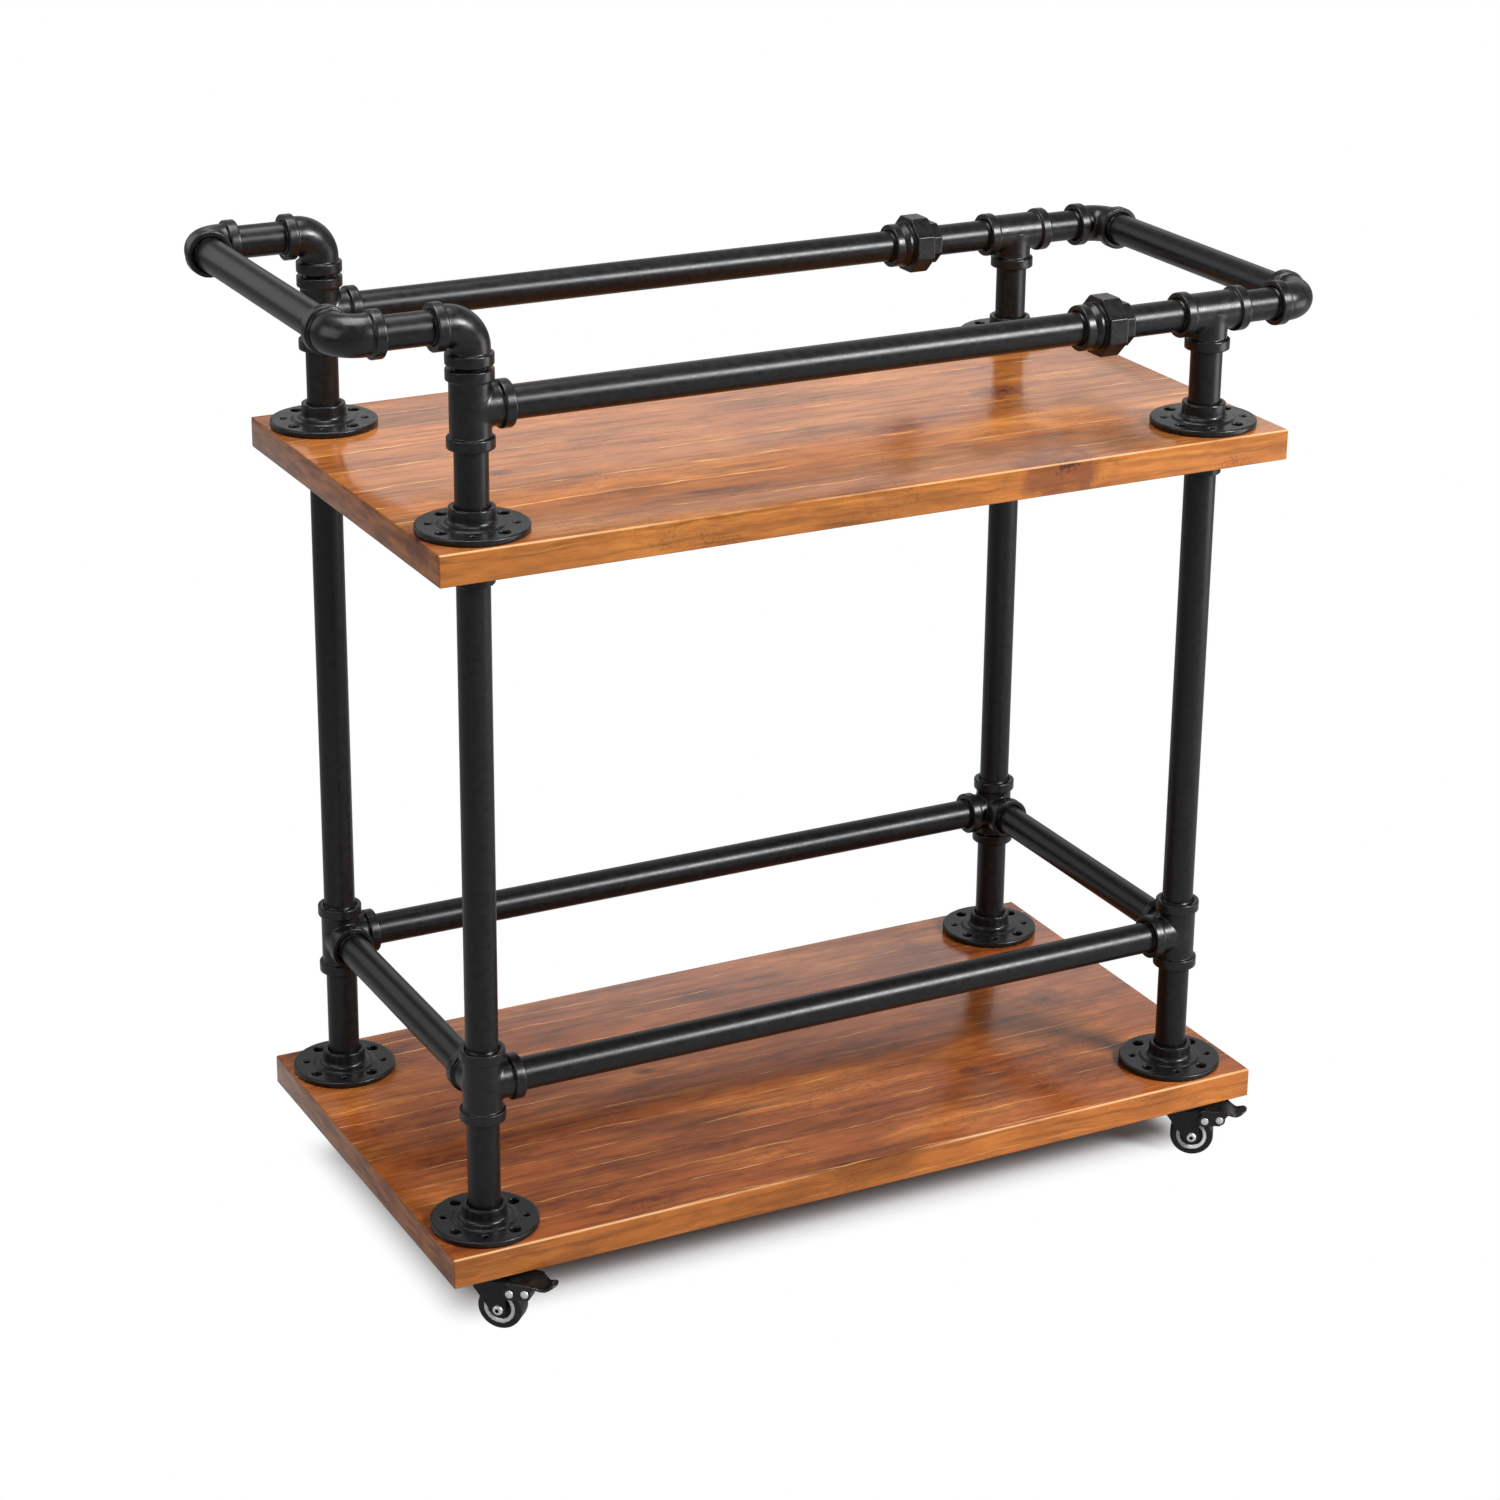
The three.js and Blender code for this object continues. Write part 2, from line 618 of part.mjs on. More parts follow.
// A tread that dips and turns up at its tip, on two ears, with a block that drops behind
// the wheel and stops it.
function pedalGeometry() {
  const x = PEDAL_PIVOT_BACK;
  const z = -PEDAL_PIVOT_DROP;
  const top = -PEDAL_TREAD_DROP;
  const under = top - PEDAL_TREAD_THICKNESS;
  const treadEnd = x + PEDAL_TREAD_LENGTH;
  const dip = top - PEDAL_DIP;
  const upper = [
    [PEDAL_REACH, dip + PEDAL_TIP_RISE], [(treadEnd + PEDAL_REACH) / 2, dip], [treadEnd, top], [x, top],
  ];
  const lower = upper.map(([along, height]) => [along, height - PEDAL_TREAD_THICKNESS]).reverse();
  const earOutline = [
    ...arc(x, z, PEDAL_EAR_RADIUS, ...EAR_ARC),
    ...points([[treadEnd, under], [treadEnd, top], [x, top]]),
  ];
  const padStart = CASTER_TRAIL + WHEEL_RADIUS + BRAKE_PAD_CLEARANCE;
  const padEnd = padStart + BRAKE_PAD_LENGTH;
  const padOutline = points([
    [padStart, -BRAKE_PAD_DROP], [padEnd, -BRAKE_PAD_DROP], [padEnd, top], [padStart, top],
  ]);
  const pinHole = roundOutline(cornerRadius(PEDAL_PIN_RADIUS, PIN_SIDES) + PEDAL_PIN_GAP, PIN_SIDES, x, z);
  const pieces = joined([
    sideSheet(points([...lower, ...upper]), -EAR_OUTSIDE, EAR_OUTSIDE),
    sideSheet(padOutline, -BRAKE_PAD_WIDTH / 2, BRAKE_PAD_WIDTH / 2),
    sideSheet(earOutline, EAR_INSIDE, EAR_OUTSIDE, [pinHole]),
    sideSheet(earOutline, -EAR_OUTSIDE, -EAR_INSIDE, [pinHole]),
  ]);
  const planOutline = points([
    [0, -EAR_OUTSIDE], [treadEnd, -EAR_OUTSIDE], [PEDAL_REACH, -PEDAL_TIP_WIDTH / 2],
    [PEDAL_REACH, PEDAL_TIP_WIDTH / 2], [treadEnd, EAR_OUTSIDE], [0, EAR_OUTSIDE],
  ]);
  const plan = prism(planOutline, CASTER_HEIGHT).translate(0, 0, -CASTER_HEIGHT);
  return geometryOf(pieces.intersect(solidOf(plan)));
}

// The plate is screwed on square to the shelf, and the rest swivels under it.
function caster(name, x, y, yawDegrees, takesPedal) {
  const underShelf = new THREE.Vector3(x, y, CASTER_HEIGHT);
  place(cart, `caster_plate_${name}`, plateGeometry(), BLACK_STEEL, underShelf);

  const swivel = new THREE.Group();
  swivel.position.copy(underShelf);
  swivel.rotation.z = THREE.MathUtils.degToRad(yawDegrees);
  cart.add(swivel);
  const origin = new THREE.Vector3();
  place(swivel, `caster_fork_${name}`, forkGeometry(takesPedal), BLACK_STEEL, origin);
  place(swivel, `caster_wheel_${name}`, wheelGeometry(), BLACK_RUBBER, origin);
  if (takesPedal) {
    place(swivel, `brake_pedal_${name}`, pedalGeometry(), BLACK_NYLON, origin);
  }
}

// ---------------------------------------------------------------- putting it together

const LEG_X = {
  left: -SHELF_LENGTH / 2 + LEG_INSET_LEFT,
  right: SHELF_LENGTH / 2 - LEG_INSET_RIGHT,
};
const LEG_Y = {
  front: -SHELF_DEPTH / 2 + LEG_INSET_SIDE,
  back: SHELF_DEPTH / 2 - LEG_INSET_SIDE,
};
const BOTTOM_SHELF_UNDERSIDE = CASTER_HEIGHT + SEAT_GAP;
const BOTTOM_SHELF_TOP = BOTTOM_SHELF_UNDERSIDE + SHELF_THICKNESS;
const TOP_SHELF_TOP = BOTTOM_SHELF_TOP + SHELF_SPACING;
const TOP_SHELF_UNDERSIDE = TOP_SHELF_TOP - SHELF_THICKNESS;
const LOWER_RAIL_Z = BOTTOM_SHELF_TOP + LOWER_RAIL_HEIGHT;
const UPPER_RAIL_Z = TOP_SHELF_TOP + UPPER_RAIL_HEIGHT;
const HANDLE_Z = UPPER_RAIL_Z + 2 * FITTING_REACH + CLOSE_NIPPLE_LENGTH;
const HANDLE_X = LEG_X.left - HANDLE_REACH;
const END_X = LEG_X.right + END_REACH;
const UNION_X = LEG_X.right - UNION_TO_LEG;
const SOCKET_START = FITTING_REACH - THREAD_ENGAGEMENT; // where a pipe ends in a fitting

const minus = (axis) => axis.clone().negate();
const at = (x, y, z) => new THREE.Vector3(x, y, z);

const postHoles = ['left', 'right'].flatMap((side) => ['front', 'back'].map(
  (row) => new THREE.Vector2(LEG_X[side], LEG_Y[row]),
));
place(cart, 'top_shelf', shelfGeometry(postHoles), LACQUERED_WOOD, at(0, 0, TOP_SHELF_UNDERSIDE));
place(cart, 'bottom_shelf', shelfGeometry([]), LACQUERED_WOOD, at(0, 0, BOTTOM_SHELF_UNDERSIDE));

for (const side of ['left', 'right']) {
  for (const row of ['front', 'back']) {
    const x = LEG_X[side];
    const y = LEG_Y[row];
    const corner = `${row}_${side}`;
    const inwardX = side === 'left' ? X_AXIS : minus(X_AXIS);
    const inwardY = row === 'front' ? Y_AXIS : minus(Y_AXIS);
    const flange = (name, z) => place(cart, name, flangeGeometry(), SATIN_BLACK_CASTING, at(x, y, z));

    // Below the top shelf: flange, short post, side-outlet tee and leg.
    flange(`bottom_flange_${corner}`, BOTTOM_SHELF_TOP + SEAT_GAP);
    pipe(
      `lower_post_${corner}`,
      at(x, y, BOTTOM_SHELF_TOP + SEAT_GAP),
      at(x, y, LOWER_RAIL_Z - SOCKET_START),
    );
    const lowerTee = teeGeometry([inwardX, inwardY]);
    place(cart, `lower_tee_${corner}`, lowerTee, SATIN_BLACK_CASTING, at(x, y, LOWER_RAIL_Z));
    const legTop = TOP_SHELF_UNDERSIDE - SEAT_GAP;
    const leg = legGeometry(legTop - LOWER_RAIL_Z - SOCKET_START);
    place(cart, `leg_${corner}`, leg, SATIN_BLACK_PIPE, at(x, y, legTop));

    // Above it: flange, and the post that passes down through flange and shelf.
    flange(`top_flange_${corner}`, TOP_SHELF_TOP + SEAT_GAP);
    pipe(
      `upper_post_${corner}`,
      at(x, y, legTop - COLLAR_ENGAGEMENT),
      at(x, y, UPPER_RAIL_Z - SOCKET_START),
    );
  }
}

for (const row of ['front', 'back']) {
  const y = LEG_Y[row];
  const inwardY = row === 'front' ? Y_AXIS : minus(Y_AXIS);

  pipeBetween(`lower_rail_${row}`, at(LEG_X.left, y, LOWER_RAIL_Z), at(LEG_X.right, y, LOWER_RAIL_Z));

  // Left end: an upright tee, an elbow over it, and an elbow that turns into the handle bar.
  const leftTee = teeGeometry([X_AXIS]);
  place(cart, `upper_tee_${row}_left`, leftTee, SATIN_BLACK_CASTING, at(LEG_X.left, y, UPPER_RAIL_Z));
  const riser = elbowGeometry(FITTING_REACH + CLOSE_NIPPLE_LENGTH + THREAD_ENGAGEMENT);
  const riserAt = at(LEG_X.left, y, HANDLE_Z);
  place(cart, `riser_elbow_${row}`, riser, SATIN_BLACK_CASTING, riserAt, minus(Z_AXIS), minus(X_AXIS));
  const handleElbow = elbowGeometry(HANDLE_REACH - SOCKET_START);
  const handleAt = at(HANDLE_X, y, HANDLE_Z);
  place(cart, `handle_elbow_${row}`, handleElbow, SATIN_BLACK_CASTING, handleAt, X_AXIS, inwardY);

  // Right end: a tee along the rail over its post, and an elbow that turns into the end bar.
  const rightTee = teeGeometry([X_AXIS]);
  const rightAt = at(LEG_X.right, y, UPPER_RAIL_Z);
  const down = minus(Z_AXIS);
  place(cart, `upper_tee_${row}_right`, rightTee, SATIN_BLACK_CASTING, rightAt, down, minus(Y_AXIS));
  const endElbow = elbowGeometry(END_REACH - SOCKET_START);
  const endAt = at(END_X, y, UPPER_RAIL_Z);
  place(cart, `end_elbow_${row}`, endElbow, SATIN_BLACK_CASTING, endAt, minus(X_AXIS), inwardY);

  // Long rail, closed by its union.
  const unionPiece = unionGeometry(UNION_TO_LEG - SOCKET_START);
  place(cart, `union_${row}`, unionPiece, SATIN_BLACK_CASTING, at(UNION_X, y, UPPER_RAIL_Z));
  pipe(
    `upper_rail_${row}`,
    at(LEG_X.left + SOCKET_START, y, UPPER_RAIL_Z),
    at(UNION_X - UNION_LENGTH / 2 + THREAD_ENGAGEMENT, y, UPPER_RAIL_Z),
  );
}

for (const side of ['left', 'right']) {
  const x = LEG_X[side];
  pipeBetween(`lower_rail_${side}`, at(x, LEG_Y.front, LOWER_RAIL_Z), at(x, LEG_Y.back, LOWER_RAIL_Z));
}
pipeBetween('handle_bar', at(HANDLE_X, LEG_Y.front, HANDLE_Z), at(HANDLE_X, LEG_Y.back, HANDLE_Z));
pipeBetween('end_bar', at(END_X, LEG_Y.front, UPPER_RAIL_Z), at(END_X, LEG_Y.back, UPPER_RAIL_Z));

// Casters stand turned as they were left; the two at the front have brakes.
const casterX = {
  left: -SHELF_LENGTH / 2 + CASTER_INSET_LEFT,
  right: SHELF_LENGTH / 2 - CASTER_INSET_RIGHT,
};
const casterY = SHELF_DEPTH / 2 - CASTER_INSET_SIDE;
caster('front_left', casterX.left, -casterY, CASTER_TURN.front_left, true);
caster('front_right', casterX.right, -casterY, CASTER_TURN.front_right, true);
caster('back_left', casterX.left, casterY, CASTER_TURN.back_left, false);
caster('back_right', casterX.right, casterY, CASTER_TURN.back_right, false);

// The origin is on the floor, under the middle of the cart's outline.
const outline = new THREE.Box3().setFromObject(cart, true);
const middle = outline.getCenter(new THREE.Vector3());
cart.position.set(-middle.x, -middle.y, -outline.min.z);

export default cart;
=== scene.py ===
"""A two-shelf bar cart: wooden shelves carried in a frame of threaded black iron pipe, on
four small swivel casters. The file follows the cart as it is put together: its shelves,
its pipework, its casters. Places are in metres, and a maker's sizes in millimetres."""

import json
import math

import bmesh
import bpy
import numpy as np
import openvdb
from mathutils import Matrix, Vector


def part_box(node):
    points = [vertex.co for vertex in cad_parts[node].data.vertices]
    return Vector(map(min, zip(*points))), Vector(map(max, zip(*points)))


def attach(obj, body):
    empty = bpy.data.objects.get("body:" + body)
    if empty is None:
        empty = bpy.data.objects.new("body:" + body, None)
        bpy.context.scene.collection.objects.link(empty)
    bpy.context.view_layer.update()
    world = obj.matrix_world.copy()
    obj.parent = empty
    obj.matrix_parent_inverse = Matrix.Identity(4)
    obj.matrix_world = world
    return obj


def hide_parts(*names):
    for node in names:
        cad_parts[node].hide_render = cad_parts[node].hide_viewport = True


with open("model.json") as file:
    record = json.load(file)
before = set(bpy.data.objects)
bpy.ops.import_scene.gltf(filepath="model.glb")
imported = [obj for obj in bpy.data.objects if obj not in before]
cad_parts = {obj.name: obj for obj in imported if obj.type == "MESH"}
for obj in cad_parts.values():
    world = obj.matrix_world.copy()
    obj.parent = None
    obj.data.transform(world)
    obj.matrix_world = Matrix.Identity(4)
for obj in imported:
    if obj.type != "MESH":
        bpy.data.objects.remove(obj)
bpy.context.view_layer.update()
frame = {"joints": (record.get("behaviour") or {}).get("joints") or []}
MM = 0.001

# ----
# The viewpoint: a long lens at a little over shoulder height, in front of the cart and to
# its left, tilted down and shifted a little so that the uprights converge only slightly.

eye_from_shelf_corner = Vector((-0.9554, -2.3396, 1.4352))
eye_heading = math.radians(27.442)
eye_tilt = math.radians(19.694)
eye_lean = math.radians(0.539)
lens_length, lens_shift = 86.27, -0.08


def put(name, data):
    """An object with the given data, in the scene."""
    made = bpy.data.objects.new(name, data)
    bpy.context.scene.collection.objects.link(made)
    return made


shelf_low, shelf_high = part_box("bottom_shelf")
near_corner = Vector((shelf_low.x, shelf_low.y, shelf_high.z))
camera = put("camera", bpy.data.cameras.new("camera"))
camera.data.sensor_width = 36
camera.data.lens = lens_length
camera.data.shift_y = lens_shift
camera.matrix_world = (
    Matrix.Translation(near_corner + eye_from_shelf_corner)
    @ Matrix.Rotation(-eye_heading, 4, "Z")
    @ Matrix.Rotation(math.pi / 2 - eye_tilt, 4, "X")
    @ Matrix.Rotation(eye_lean, 4, "Z")
)
bpy.context.scene.camera = camera
bpy.context.scene.view_settings.view_transform = "Standard"

# ----
# The studio: pale paper that keeps the shadow under the cart and is plain white elsewhere,
# a dim room with one pale wall, and five soft lamps, the strongest of them in front and to
# the right. The lacquered shelves take the lamps' light but don't mirror them.


def add_node(tree, kind, inputs=None, **settings):
    """Adds a shader node, with its settings, and links or sets its inputs."""
    made = tree.nodes.new("ShaderNode" + kind)
    for setting, value in settings.items():
        setattr(made, setting, value)
    for key, value in (inputs or {}).items():
        if isinstance(value, bpy.types.NodeSocket):
            tree.links.new(value, made.inputs[key])
        else:
            made.inputs[key].default_value = value
    return made


def reckon(tree, operation, *values):
    """One step of arithmetic on numbers or sockets."""
    return add_node(tree, "Math", dict(enumerate(values)), operation=operation).outputs[0]


def reckon_vector(tree, operation, *values):
    """One step of arithmetic on vectors."""
    return add_node(tree, "VectorMath", dict(enumerate(values)), operation=operation).outputs[0]


def split(tree, vector):
    """The X, Y and Z of a vector."""
    return add_node(tree, "SeparateXYZ", {0: vector}).outputs


def ranged(tree, value, low, high, start=0.0, end=1.0):
    """A value eased from start to end while it goes from low to high."""
    return add_node(tree, "MapRange", {0: value, 1: low, 2: high, 3: start, 4: end},
                    interpolation_type="SMOOTHSTEP").outputs["Result"]


def mixed(tree, factor, below, above):
    """A number between two others."""
    return add_node(tree, "Mix", {"Factor": factor, "A": below, "B": above},
                    data_type="FLOAT").outputs["Result"]


def new_material(name):
    """A material with no nodes in it yet, and its node tree."""
    material = bpy.data.materials.new(name)
    material.use_nodes = True
    material.node_tree.nodes.clear()
    return material, material.node_tree


def mesh_of(name, skin):
    """A mesh with the faces of a bmesh, which is used up."""
    mesh = bpy.data.meshes.new(name)
    skin.to_mesh(mesh)
    skin.free()
    return mesh


lacquer_only = bpy.data.collections.new("lacquer_only")
all_but_lacquer = bpy.data.collections.new("all_but_lacquer")


def soft_box(name, place, aim, width, height, power):
    """A soft lamp, made twice: the lacquer takes its light but doesn't mirror it."""
    for use, receivers in (("_iron", all_but_lacquer), ("_lacquer", lacquer_only)):
        lamp = put(name + use, bpy.data.lights.new(name + use, "AREA"))
        lamp.data.shape = "RECTANGLE"
        lamp.data.size = width
        lamp.data.size_y = height
        lamp.data.energy = power
        lamp.location = place
        lamp.rotation_euler = (Vector(aim) - Vector(place)).to_track_quat("-Z", "Y").to_euler()
        lamp.visible_camera = False
        lamp.visible_glossy = receivers == all_but_lacquer
        lamp.light_linking.receiver_collection = receivers


soft_box("overhead_softbox", (-0.3, 0.1, 2.6), (0, 0, 0.3), 1.4, 1.1, 48)
soft_box("front_softbox", (2.1, -3.15, 2.62), (0, 0, 0.45), 1.25, 1.25, 236)
soft_box("side_softbox", (1.95, -1.2, 0.4), (0, 0, 0.3), 1.2, 0.8, 13)
soft_box("left_softbox", (-2.6, -0.3, 1.6), (0, 0, 0.5), 2.2, 1.6, 26)
soft_box("back_panel", (-1.5, 2.6, 1.7), (0, 0, 0.6), 2.2, 1.7, 9)

gloss_share = 0.17


def white_share(tree):
    """How much of plain white a ray meets: all from the eye or through glass, a part in a gloss."""
    path = add_node(tree, "LightPath").outputs
    direct = reckon(tree, "MAXIMUM", path["Is Camera Ray"], path["Is Transmission Ray"])
    glossy = reckon(tree, "MULTIPLY", path["Is Glossy Ray"], gloss_share)
    return reckon(tree, "MAXIMUM", direct, glossy)


floor_half = 6.0
paper_white, paper_grey = 0.66, 0.27
shadow_inset = Vector((0.0, 0.015, 0))
shadow_fade = 0.055

floor_skin = bmesh.new()
bmesh.ops.create_grid(floor_skin, x_segments=8, y_segments=8, size=floor_half)
floor = put("studio_floor", mesh_of("studio_floor", floor_skin))

# The paper is plain white to the eye, and keeps its shadow where the bottom shelf covers it.
floor_paint, tree = new_material("floor_paint")
place = add_node(tree, "TexCoord").outputs["Object"]
from_middle = reckon_vector(tree, "SUBTRACT", place, (shelf_low + shelf_high) / 2)
from_middle = reckon_vector(tree, "ABSOLUTE", from_middle)
shadow_half = (shelf_high - shelf_low) / 2 - shadow_inset
inside = split(tree, reckon_vector(tree, "SUBTRACT", shadow_half, from_middle))
covered = reckon(tree, "MULTIPLY", *[ranged(tree, inside[axis], 0.0, shadow_fade) for axis in "XY"])
seen = white_share(tree)
swept = reckon(tree, "MULTIPLY", reckon(tree, "SUBTRACT", 1.0, covered), seen)
tone = mixed(tree, seen, paper_grey, paper_white)
paper_colour = add_node(tree, "CombineColor", {0: tone, 1: tone, 2: tone}).outputs[0]
paper = add_node(tree, "BsdfDiffuse", {"Color": paper_colour}).outputs[0]
plain_white = add_node(tree, "Emission", {"Color": (1, 1, 1, 1), "Strength": 1.0}).outputs[0]
floor_look = add_node(tree, "MixShader", {0: swept, 1: paper, 2: plain_white}).outputs[0]
add_node(tree, "OutputMaterial", {"Surface": floor_look})
floor.data.materials.append(floor_paint)

# The room: a pale wall behind and to the right, brightest low down, and dim elsewhere.
wall_level, room_level = 0.95, 0.05
upper_wall_share = 0.35
sky = bpy.data.worlds.new("studio_sky")
sky.use_nodes = True
sky.node_tree.nodes.clear()
tree = sky.node_tree
facing = split(tree, add_node(tree, "TexCoord").outputs["Generated"])
wall = 1.0
for axis, outside, inside, share in (
    ("X", 0.2, 0.36, 0.0), ("Y", 0.1, 0.6, 0.0), ("Z", 0.08, 0.25, 0.0), ("Z", 0.5, 0.28, upper_wall_share),
):
    wall = reckon(tree, "MULTIPLY", wall, ranged(tree, facing[axis], outside, inside, share))
level = add_node(tree, "MapRange", {0: wall, 3: room_level, 4: wall_level}).outputs["Result"]
sky_level = mixed(tree, white_share(tree), level, 1.0)
background = add_node(tree, "Background", {"Color": (1, 1, 1, 1), "Strength": sky_level}).outputs[0]
add_node(tree, "OutputWorld", {"Surface": background})
bpy.context.scene.world = sky

# ----
# The two shelves: planks of knotty softwood, edge-glued from staves that run along the
# cart, sanded round at the arrises, stained orange-brown and lacquered. The top shelf is
# drilled for the four posts that stand on the legs.


def new_group(name, vectors, numbers):
    """A node group with its named inputs, and what it is given."""
    group = bpy.data.node_groups.new(name, "ShaderNodeTree")
    for sockets, kind in ((vectors, "NodeSocketVector"), (numbers, "NodeSocketFloat")):
        for socket in sockets:
            group.interface.new_socket(socket, in_out="INPUT", socket_type=kind)
    return group, group.nodes.new("NodeGroupInput").outputs


def give(group, results):
    """Ends a node group with its named outputs."""
    for socket in results:
        group.interface.new_socket(socket, in_out="OUTPUT", socket_type="NodeSocketFloat")
    output = group.nodes.new("NodeGroupOutput")
    for socket, value in results.items():
        group.links.new(value, output.inputs[socket])


def add_group(tree, group, inputs):
    return add_node(tree, "Group", inputs, node_tree=group).outputs


def noise(tree, vector, scale, detail, roughness=0.5, distortion=0.0):
    return add_node(tree, "TexNoise", {
        "Vector": vector, "Scale": scale, "Detail": detail, "Roughness": roughness, "Distortion": distortion,
    }).outputs


def streaks(tree, vector, stretch, detail, roughness=0.55):
    """Noise drawn out along the grain: stretch is its count per metre along and across."""
    along, across = stretch
    drawn = reckon_vector(tree, "MULTIPLY", vector, (along, across, across))
    return noise(tree, drawn, 1.0, detail, roughness)["Fac"]


def tinted(tree, factor, below, above):
    """One colour over another, as far as the factor covers it."""
    below, above = [(*tone, 1) if isinstance(tone, tuple) else tone for tone in (below, above)]
    return add_node(tree, "Mix", {0: factor, 6: below, 7: above}, data_type="RGBA").outputs[2]


# Figure of the timber: the tone of each stave, mottle, dark patches, streaks, short fibres,
# curled flakes and pale, wavering lines.
figure, given = new_group("timber_figure", ["Vector"], ["Line Spacing"])
bent = given["Vector"]
for scale, waver in ((3.0, 0.016), (26.0, 0.005), (90.0, 0.0009)):
    bend = noise(figure, given["Vector"], scale, 1.0)["Color"]
    bent = reckon_vector(figure, "MULTIPLY_ADD", bend, (0, waver, waver), bent)
parts = split(figure, bent)
counted = reckon(figure, "DIVIDE", reckon(figure, "ADD", parts["Z"], parts["Y"]), given["Line Spacing"])
glue_lines = {"W": counted, "Scale": 1.0, "Randomness": 0.8}
from_line = add_node(figure, "TexVoronoi", glue_lines, voronoi_dimensions="1D",
                     feature="DISTANCE_TO_EDGE").outputs["Distance"]
stave = add_node(figure, "TexVoronoi", glue_lines, voronoi_dimensions="1D", feature="F1").outputs["Color"]
width = ranged(figure, streaks(figure, bent, (30, 60), 2.0), 0.35, 0.7, 0.01, 0.05)
thin = ranged(figure, reckon(figure, "DIVIDE", from_line, width), 1.0, 0.2)
broken = ranged(figure, streaks(figure, bent, (12, 30), 4.0), 0.4, 0.56)
ripple = noise(figure, reckon_vector(figure, "MULTIPLY", bent, (75, 105, 105)), 1.0, 2.0, distortion=1.4)
ridge = reckon(figure, "ABSOLUTE", reckon(figure, "SUBTRACT", ripple["Fac"], 0.5))
curled = ranged(figure, streaks(figure, bent, (11, 22), 2.0), 0.48, 0.62)
give(figure, {
    "Stave": split(figure, stave)["X"],
    "Mottle": streaks(figure, bent, (6, 20), 7.0, 0.66),
    "Patch": streaks(figure, bent, (3.4, 12), 6.0, 0.62),
    "Cloud": streaks(figure, bent, (17, 60), 5.0, 0.6),
    "Streak": streaks(figure, bent, (7, 190), 5.0, 0.6),
    "Fibre": streaks(figure, bent, (30, 900), 3.0),
    "Flake": reckon(figure, "MULTIPLY", ranged(figure, ridge, 0.035, 0.0), curled),
    "Line": reckon(figure, "MULTIPLY", thin, broken),
})

# A knot: a dark, ragged eye in a wandering patch of brown heartwood.
knot, given = new_group("knot", ["Vector", "Centre"], ["Size"])
away = reckon_vector(knot, "SUBTRACT", given["Vector"], given["Centre"])
away = reckon_vector(knot, "MULTIPLY", away, (0.7, 1.15, 1.15))
radius = add_node(knot, "VectorMath", {0: away}, operation="LENGTH").outputs["Value"]
sized = reckon(knot, "DIVIDE", radius, given["Size"])
cracks = noise(knot, given["Vector"], 260.0, 4.0, 0.7)["Fac"]
wander = noise(knot, given["Vector"], 48.0, 4.0)["Fac"]
give(knot, {
    "Dark": ranged(knot, reckon(knot, "MULTIPLY_ADD", cracks, 3.2, sized), 2.5, 1.5),
    "Halo": ranged(knot, reckon(knot, "MULTIPLY_ADD", wander, 5.5, sized), 6.0, 4.2),
})

# The golden edge tone is partly stain and partly painted light on the long edge faces.
golden_lit_edge, edge_tone_and_light_share = (0.56, 0.195, 0.03), 0.4
late_ring, early_ring = (0.18, 0.053, 0.016), (0.4, 0.14, 0.04)
heartwood, heartwood_share = (0.15, 0.04, 0.018), 0.75
knot_eye = (0.05, 0.017, 0.008)
# The pale arris colour is partly wear and partly a painted highlight.
rubbed_and_highlit_wood, rubbed_and_highlight_share = (0.82, 0.49, 0.25), 0.8


